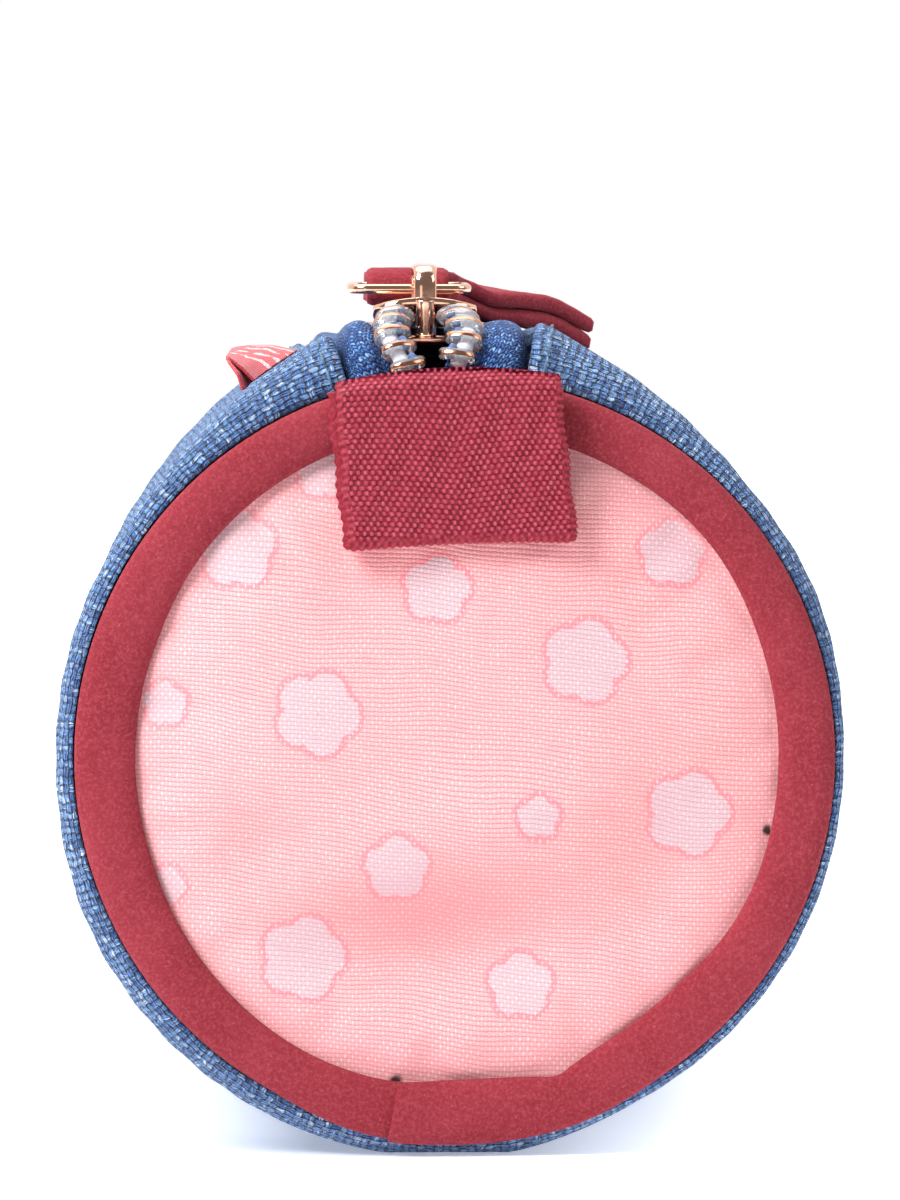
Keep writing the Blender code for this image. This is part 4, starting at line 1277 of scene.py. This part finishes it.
sliderRows = [  # share of the length, share of half the width, share of the flange
    (0.00, 0.50, 0.05), (0.03, 0.72, 0.05), (0.09, 0.90, 0.05), (0.17, 1.00, 0.50),
    (0.30, 1.00, 1.00), (0.52, 0.90, 1.00), (0.80, 0.74, 1.00), (1.00, 0.72, 1.00),
]
plateUnder = coilTop + case["thinClearance"]
plateTop = plateUnder + slider["plate"]


def sliderFrame(x, y, z):
    return together(x - case["zipOffset"], nose + y, axisHeight + z)


def topPlateLoops():
    loops = []
    s = np.linspace(1, -1, 25)
    wall = slider["flangeWall"]
    for place in [0, 0.004, *np.linspace(0.015, 0.985, 44), 0.996, 1]:
        width, flange = flowTable(sliderRows, place)
        ending = min(min(place, 1 - place) / 0.015, 1)
        thin = 0.35 + 0.65 * math.sqrt(1 - (1 - ending) ** 2)  # rounded front and back edges
        edge = slider["width"] / 2 * min(width, 1.01)
        bow = (s * width) ** 2
        top, bottom = plateTop - slider["crown"] * bow, plateUnder - slider["underCrown"] * bow
        mid = (top + bottom) / 2
        top, bottom = mid + (top - mid) * thin, mid + (bottom - mid) * thin
        rim = bottom[0] - 0.02 * mm
        hem = min(plateUnder - max(flange, 0) * slider["flange"], rim - 0.04 * mm)
        drop, inside = rim - hem, edge - wall
        sideX = [edge - wall * 0.5, edge - wall * 0.1, edge, edge * 1.005]
        sideZ = [hem, hem + drop * 0.06, hem + drop * 0.2, rim]
        backZ = [hem + drop * 0.08, hem + drop * 0.25, rim - drop * 0.1]
        x = [*sideX, *edge * s * 0.99, *[-v for v in reversed(sideX)]]
        x = np.array([*x, *[-inside] * 3, *inside * s[::-1] * 0.96, *[inside] * 3])
        z = np.array([*sideZ, *top, *sideZ[::-1], *backZ, *bottom, *backZ[::-1]])
        y = slider["length"] * place + 0.3 * mm * (1 - place) ** 12 * (1 - 0.6 * np.abs(x / edge))
        loops.append(sliderFrame(x, y, z))
    return np.array(loops)


def lowerPlateLoops():
    top = tapeLevel - case["thinClearance"]
    turn = fullTurn(40)
    loops = []
    for place in [0, *np.linspace(0.01, 0.99, 30), 1]:
        narrow, thin = (0.97, 1) if 0 < place < 1 else (0.9, 0.4)
        width = slider["lowerWidth"] / 2 * flowTable(sliderRows, place)[0] * narrow
        z = top - slider["plate"] / 2 + slider["plate"] / 2 * thin * squared(np.sin(turn), 0.6)
        loops.append(sliderFrame(width * squared(np.cos(turn), 0.35), slider["length"] * place, z))
    return np.array(loops)


def postLoops():
    # column at the nose, with a flared foot on the lower plate
    low, high = tapeLevel - case["thinClearance"] - 0.35 * mm, plateUnder + slider["plate"] * 0.6
    turn = fullTurn(40)
    loops = []
    for share in np.linspace(0, 1, 30):
        r = slider["post"] / 2 * (0.86 + 0.7 * math.exp(-share * 18) + 0.06 * math.exp(-(1 - share) * 12))
        loops.append(sliderFrame(r * np.sin(turn), 1.12 * mm - r * np.cos(turn), low + (high - low) * share))
    return np.array(loops)


def bridgeLoops():
    # arch over the plate, starting from the column and coming down near the plate's back
    run, corner = slider["bridgeLength"] / 2, slider["bridgeCorner"]
    foot, roof = plateUnder + slider["plate"] * 0.3, plateTop + slider["bridgeRoom"]
    knots = [(-run, foot), (-run, roof - corner), (-run + corner * 0.3, roof - corner * 0.3)]
    knots += [(-run + corner, roof), (0, roof + slider["bridgeBar"] * 0.25)]
    knots += [(-y, z) for y, z in reversed(knots[:-1])]
    turn = fullTurn(32)
    fine, line, normal = smoothLine(np.array(knots), 64, rounds=6)
    loops = []
    for reach, p, n in zip(fine, line, normal):
        # a rounded bar in front that flattens over the top
        front = 1 - ease((reach - slider["bridgeRound"]) / slider["bridgeRound"])
        half = slider["bridgeWidth"] / 2 * (0.9 + 0.1 * float(ease(abs(reach / fine[-1] - 0.5) * -6 + 2)))
        x, lift = half * squared(np.cos(turn), 0.5), squared(np.sin(turn), 0.75)
        bulge = 1 + 0.55 * front * (1 - (x / half) ** 2) * (lift > 0)
        depth = slider["bridgeBar"] * (0.5 + 0.5 * lift * bulge)
        loops.append(sliderFrame(x, slider["bridgeSetback"] + p[0] + n[0] * depth, p[1] + n[1] * depth))
    return np.array(loops)


addTubes(
    "zip_slider", [topPlateLoops(), lowerPlateLoops()[:, ::-1], postLoops(), bridgeLoops()],
    nodes=["slider"], slot="rose_gold", finish=roseGold,
)
print("slider made")


# Ring and suede pull

pull = {
    "ringWidth": 12.6 * mm,
    "ringLength": 10.6 * mm,
    "bar": 1.3 * mm,
    "barThickness": 1.0 * mm,
    "corner": 1.4 * mm,
    "shift": 1.4 * mm,
    "strapLength": 27.2 * mm,
    "strapWidth": 10 * mm,
    "strapThickness": 1.3 * mm,
    "softness": 0.46 * mm,  # how much the loose layers swell towards each other
    "settle": 0.12 * mm,
    "gape": 0.02 * mm,  # the layers stand this much further apart towards the loose end
    "closest": 0.012 * mm,  # between the layers
    "steps": 104,
    "foldSteps": 19,
    "foldFrom": 6,  # steps at the ring that the fold takes the place of
    "points": 19,  # across each face
    "nap": 0.035 * mm,
}
strapRows = [  # share of the length, heading, height, roll
    (0.00, 0, 0.00, 0), (0.15, 12, 0.02, 2), (0.38, 48, 0.34, 3), (0.53, 52, 0.60, 9), (0.59, 52, 0.62, 9),
    (0.69, 52, 0.85, 4), (0.81, 52, 0.96, 6), (0.90, 52, 1.26, 9), (1.00, 52, 1.60, 15),
]
barReach = math.hypot(pull["bar"] * 0.5, pull["barThickness"] * 0.25)
ringLevel = plateTop + barReach + case["thinClearance"]
farRoom = pull["barThickness"] / 2 + case["thinClearance"]
farLift = coilTop + case["clearance"] + pull["strapThickness"] + farRoom - ringLevel
farBar = pull["ringLength"] - pull["bar"]


def pullFrame(x, y, z):
    return sliderFrame(x, slider["bridgeSetback"] + np.asarray(y), ringLevel + np.asarray(z))


def makeRing():
    corner = pull["corner"]
    half = (pull["ringWidth"] - pull["bar"]) / 2 - corner
    turn = fullTurn(20)
    r = corner + 0.5 * squared(np.cos(turn), 0.7) * pull["bar"]
    up = 0.5 * squared(np.sin(turn), 0.7) * pull["barThickness"]
    far = farBar - corner
    loops = []
    for across, back, start in (half, corner, 270), (half, far, 0), (-half, far, 90), (-half, corner, 180):
        for angle in np.radians(start + np.linspace(0, 90, 12)):
            y = back + r * math.sin(angle)
            x = across - pull["shift"] + r * math.cos(angle)
            loops.append(pullFrame(x, y, farLift * y / farBar + up))
    return addLoops(
        "pull_loop", np.array(loops), closed=True, flip=True, body="pull",
        nodes=["pull_ring"], slot="rose_gold", finish=roseGold,
    )


def strapStations():
    count = pull["steps"]
    share = np.arange(count + 1) / count
    heading, lowered, roll = flowTable(strapRows, share).T
    turn, tilt = np.radians(heading), np.radians(roll)
    step = pull["strapLength"] / count
    x = -pull["shift"] + np.concatenate([[0], np.cumsum(step * np.sin(turn[1:]))])
    y = farBar + np.concatenate([[0], np.cumsum(step * np.cos(turn[1:]))])
    rest = ridgeRadius * math.cos(foldAngle(1)) - ringLevel + case["clearance"] * 1.5 + pull["strapThickness"]
    z = farLift + (rest - farLift) * lowered - pull["settle"] * ease((share - 0.3) / 0.2)
    level = together(np.cos(turn), -np.sin(turn), 0.0)
    upward = np.array([0, 0, 1.0])
    side = level * np.cos(tilt)[:, None] - upward * np.sin(tilt)[:, None]
    up = level * np.sin(tilt)[:, None] + upward * np.cos(tilt)[:, None]
    insideRing = pull["ringWidth"] - 2 * pull["bar"] - 1.2 * pull["corner"]
    width = insideRing + (pull["strapWidth"] - insideRing) * ease((share - 0.05) / 0.12)
    return share * pull["strapLength"], together(x, y, z), side, up, width


def makeStrap():
    reach, point, side, up, width = strapStations()
    parted = 1 - ease(reach / (farRoom * 6))
    gape = pull["gape"] * ease((reach / reach[-1] - 0.45) / 0.3)
    apart = (pull["closest"] + (farRoom - pull["closest"]) * parted + gape)[:, None]
    thick = pull["strapThickness"] + pull["softness"] * (1 - parted)[:, None]
    count = pull["foldSteps"]
    turns = np.radians(np.linspace(90, 270, count))
    back = (pull["bar"] / 2 + case["clearance"] + pull["strapThickness"] / 2) * np.cos(turns)
    high = (farRoom + pull["strapThickness"] / 2) * np.sin(turns)

    def leg(way):
        parts = point + up * way * (apart + thick / 2), up * way, side, width, thick
        return [part[pull["foldFrom"] :][::-way] for part in parts]

    fold = [
        point[0] + together(0.0, back, high),
        unit(together(0.0, np.cos(turns), np.sin(turns))),
        np.repeat(side[:1], count, 0), np.repeat(width[:1], count),
        np.full((count, 1), pull["strapThickness"]),
    ]
    spine, outward, beside, wide, deep = (np.concatenate(parts) for parts in zip(leg(1), fold, leg(-1)))
    # closed section: flat faces and rounded sides
    half = np.linspace(-0.5, 0.5, pull["points"])
    across = np.concatenate([half, half[::-1]])
    lift = np.repeat([1, -1], pull["points"]) * (1 - np.abs(across * 2) ** 16 * 0.45)
    nap = ripple(5, 8, np.arange(len(spine))[:, None] * 0.5, across * 18, 0.5, 1.6) * pull["nap"]
    loops = spine[:, None] + beside[:, None] * (across * wide[:, None])[..., None]
    loops = loops + outward[:, None] * (lift * deep / 2 * 0.97 + nap)[..., None]
    strap = addLoops(
        "pull_suede", pullFrame(loops[..., 0], loops[..., 1], loops[..., 2]), body="pull",
        nodes=["pull_strap"], slot="burgundy_suede", finish=suede,
    )
    return strap


makeRing()
makeStrap()
print("pull made")


# Webbing tab

tab = {
    "width": 24 * mm,
    "length": 18.2 * mm,
    "thickness": 1.2 * mm,
    "arch": 0.5,
    "shrink": 0.935,
    "nodeAcross": 0.76 * mm,
    "nodeDown": 0.56 * mm,
    "relief": 0.2 * mm,
    "columns": (196, 40),  # points across the outer and the inner side
    "rows": (60, 210),  # down the back layer and up the front one
    "selvedge": 0.7 * mm,
    "selvedgePitch": 0.82 * mm,
    "edgeThin": 0.8 * mm,  # how far in from its sides it thins out
    "lean": (1.3 * mm, 1.0 * mm),  # from how far down its upper edge leans back over the rim, and by how much
    "lobes": (0.11 * mm, 1.25 * mm),  # the left edge's loops: how far out and how long
    "shift": (-0.9 * mm, 1.6 * mm),  # to the right: at the top, and how much more at the bottom
    "peep": 0.85 * mm,  # how far the back layer stands out on the left
    "sway": 0.12 * mm,  # how far its sides wander
}


def webbingRelief(u, v):
    # u across and v along the webbing: bright knots set like a brick wall, rows falling to both sides
    level = (v - np.abs(u) * 0.12) / tab["nodeDown"]
    row = np.floor(level)
    cell = u / tab["nodeAcross"] + row * 0.5 + v * 18
    column = np.floor(cell)
    across, down = (cell - column - 0.5) * 2, (level - row - 0.5) * 2
    knot = np.clip(1 - (across / 0.62) ** 4, 0, 1) * np.clip(1 - down**4, 0, 1)
    beside = np.clip(1 - ((np.abs(across) - 1) / 0.5) ** 2, 0, 1) * np.clip(1 - down**2 * 0.8, 0, 1)
    chance = np.modf(np.abs(np.sin(column * 12.9898 + row * 78.233)) * 43758.5453)[0]
    return np.maximum(knot**0.6, 0.44 * beside), chance


def tabSection():
    # down the back layer, round the fold and up the front: outer and inner line, each out and down
    gap, thick, length = case["clearance"], tab["thickness"], tab["length"]
    back = gap + ends["bindingThickness"] + gap
    middle = back + thick
    bottom = length - thick - gap / 2
    turns = np.radians(np.linspace(0, 180, 21))[1:-1]
    backRows, frontRows = tab["rows"]
    backDown = np.linspace(0.03 * length, bottom, backRows)
    frontDown = np.linspace(bottom, -0.02 * length, frontRows)
    leanFrom, leanBack = tab["lean"]
    roll = np.clip(1 - frontDown / leanFrom, 0, 1) ** 2 * leanBack

    def line(start, bend, front):
        outs = np.concatenate([np.full(backRows, start), middle + gap / 2 - bend * np.cos(turns), front])
        return outs, np.concatenate([backDown, bottom + bend * np.sin(turns), frontDown])

    return (
        *line(back, thick + gap / 2, middle + gap + thick - roll),
        *line(middle, gap / 2, middle + gap - roll * 0.4),
    )


def makeTab():
    out, down, inside, inDown = (part[:, None] for part in tabSection())
    length = walked(np.hstack([out, down]))[:, None]
    outer, inner = tab["columns"]
    across = np.concatenate([np.linspace(-0.5, 0.5, outer), np.linspace(0.5, -0.5, inner)]) * tab["width"]
    outerSide = np.arange(outer + inner) < outer
    # 0 on the back layer, 1 on the front one
    folded = np.clip((np.arange(len(out))[:, None] - tab["rows"][0]) / 19, 0, 1)
    crest, chance = webbingRelief(across, length)
    fromEdge = tab["width"] / 2 - np.abs(across)
    edge = np.clip(fromEdge / tab["edgeThin"], 0, 1)
    knot = 0.5 + 0.5 * np.cos(length / tab["selvedgePitch"] * turnFull)
    crest = np.where(fromEdge < tab["selvedge"], 0.25 + 0.5 * knot, crest)
    # round the fold the weft turns show as a row of beads
    beads = np.sin(math.pi * folded) * (fromEdge > 0.3 * mm)
    beadCrest = 0.2 + 0.6 * np.abs(np.cos(across / tab["nodeAcross"] * math.pi * 0.96))
    crest = crest * (1 - beads) + beadCrest * beads
    thinning = (1 - np.sqrt(edge)) * tab["thickness"]
    push = np.where(outerSide, (crest - 0.7) * tab["relief"] * (1 + beads) - thinning * 0.4, thinning * 0.3)
    y = np.where(outerSide, out, inside) - push * np.cos(math.pi * folded)
    d = np.where(outerSide, down, inDown) + push * np.sin(math.pi * folded)
    lobes = tab["lobes"][0] * np.cos(length / tab["lobes"][1] * turnFull)
    x = across + np.sign(across) * (1 - edge) * np.where(across < 0, lobes, 0.1 * mm * (knot - 0.5) * 2)
    drop = np.clip(d / tab["length"], 0, 1.1)
    layer = (tab["peep"] - 0.5 * mm * drop) * (1 - folded)
    x = x * (tab["shrink"] + 0.02 * drop) + tab["shift"][0] + tab["shift"][1] * drop - layer
    x = x + tab["sway"] * np.sin(d * 900 + 0.6) * (np.abs(across) / tab["width"] * 2) ** 3
    seam = seamRadius + case["clearance"]
    rim = np.sqrt(seam**2 - x**2)
    rim = rim + (seam - rim) * (1 - tab["arch"]) * 0.55 + (seamRadius - rim) * 0.45 * drop
    slant = np.clip(x / tab["width"] + 0.5, 0, 1)  # the right side hangs a little higher
    rim = rim + 0.5 * mm * slant**2 + (0.8 * mm + 0.5 * mm * slant) * drop**2
    piece = addLoops(
        "front_webbing", together(x, frontFace - y, axisHeight + rim - d),
        values={"crest": np.where(outerSide, crest * (0.8 + 0.2 * chance), 0.4)},
        nodes=["front_tab"], slot="burgundy_webbing", finish=webbing,
    )
    return piece


makeTab()
print("tab made")


# Label

label = {
    "width": 12 * mm,
    "setback": 9 * mm,
    "skin": 0.34 * mm,
    "upper": (-27.8, -20.8),  # degrees where the upper layer meets the fabric, near and far end
    "lower": (-30.2, -22.2),
    "tipNear": (-22.9, 40.2),  # millimetres right of the axis and above it
    "tipFar": (-22.4, 41.0),
    "foldDrop": 0.55 * mm,
    "flap": 1.8 * mm,  # how far the lower layer's near edge comes forward
    "columns": 41,
    "steps": 72,
}


def makeLabel():
    # ribbon folded into a soft loop; its near side is pressed down and its far side stands up
    def onBody(layer, mix):
        near, far = label[layer]
        turn = math.radians(near + (far - near) * mix)
        return (float(outerRadius(turn % turnFull)) + 0.1 * mm) * np.array([math.sin(turn), math.cos(turn)])

    share = np.linspace(0, 1, label["columns"])
    columns = []
    for s, lift in [(s, 1) for s in share] + [(s, 0) for s in share[::-1]]:
        mix = float(ease(s))
        upper, lower = onBody("upper", mix), onBody("lower", mix)
        tip = (np.array(label["tipNear"]) * (1 - mix) + np.array(label["tipFar"]) * mix) * mm
        under = tip + np.array([0.25 * mm, -label["foldDrop"] * 1.5])
        rise = np.array([0.1, 1.0]) * mm * (0.35 + 0.3 * mix)
        knots = [upper, upper * 0.62 + tip * 0.38 + rise * 0.7, upper * 0.25 + tip * 0.75 + rise * 0.5]
        knots += [tip, under, under * 0.5 + lower * 0.5 + [0.25 * mm, 0.1 * mm], lower]
        fine, line, normal = smoothLine(np.array(knots), label["steps"], rounds=5)
        line = line + normal * label["skin"] * (1 - lift)
        forward = label["flap"] * (1 - s) * ease((fine / fine[-1] - 0.5) / 0.3)
        back = s * label["width"]
        y = frontFace + label["setback"] + back - forward
        columns.append(together(line[:, 0], y, axisHeight + line[:, 1], fine, back))
    loops = np.array(columns).transpose(1, 0, 2)
    return addLoops(
        "side_ribbon", loops[..., :3], values=clothAt(loops[..., 3], loops[..., 4]),
        nodes=["side_label"], slot="red_ribbon", finish=ribbon,
    )


makeLabel()
print("label made")


# Floor, light and camera

def lookAt(thing, place, aim):
    thing.location = place
    thing.rotation_mode = "QUATERNION"
    thing.rotation_quaternion = (Vector(aim) - Vector(place)).to_track_quat("-Z", "Y")


def makeFloor():
    mesh = bpy.data.meshes.new("floor")
    far = 6.0
    mesh.from_pydata([(-far, -far, 0), (far, -far, 0), (far, far, 0), (-far, far, 0)], [], [(0, 1, 2, 3)])
    mesh.materials.append(floorFinish())
    floor = putInScene("floor", mesh)


lights = {  # place, size and power of each soft light, in metres and watts
    "keyLight": ((-0.62, -0.55, 0.76), 0.5, 15.6),
    "fillLight": ((0.8, -0.45, 0.6), 0.5, 2.0),
    "topLight": ((-0.1, 0.15, 0.95), 0.9, 4.5),
    "lowLight": ((-0.28, -0.85, 0.1), 0.2, 0.12),
}
room = {
    "lit": (0, -0.05, 0.045),  # where the lights point
    "bright": 1.0,
    "dim": 0.2,  # the side behind the camera is dimmer
}


def makeLights():
    for name, (place, size, power) in lights.items():
        data = bpy.data.lights.new(name, "AREA")
        data.shape, data.size, data.energy = "SQUARE", size, power
        lookAt(putInScene(name, data), place, room["lit"])
    world = bpy.data.worlds.new("paleRoom")
    world.use_nodes = True
    board = Board(world.node_tree)
    _, y, z = board.split(board.node("ShaderNodeTexCoord"))
    share = board.rise(y + board.calc("MAXIMUM", z, 0) * 0.25, -0.05, 0.3)
    dim, bright = ((*[room[key]] * 3, 1) for key in ("dim", "bright"))
    board.put(board.nodes["Background"].inputs["Color"], board.blend(share, dim, bright))
    bpy.context.scene.world = world
    bpy.context.scene.view_settings.view_transform = "Standard"


camera = {
    "place": (-26 * mm, -850 * mm, 78 * mm),
    "aim": (-0.5 * mm, -105 * mm, 55.7 * mm),
    "frameHeight": 120 * mm,  # what the picture's height covers at the aim
    "sensor": 36,
}


def makeCamera():
    reach = math.dist(camera["place"], camera["aim"])
    data = bpy.data.cameras.new("camera")
    data.sensor_width = camera["sensor"]
    data.lens = camera["sensor"] * reach / camera["frameHeight"]
    data.clip_start, data.clip_end = 0.01, 30
    holder = putInScene("camera", data)
    lookAt(holder, camera["place"], camera["aim"])
    bpy.context.scene.camera = holder


makeFloor()
makeLights()
makeCamera()
print("stage made")
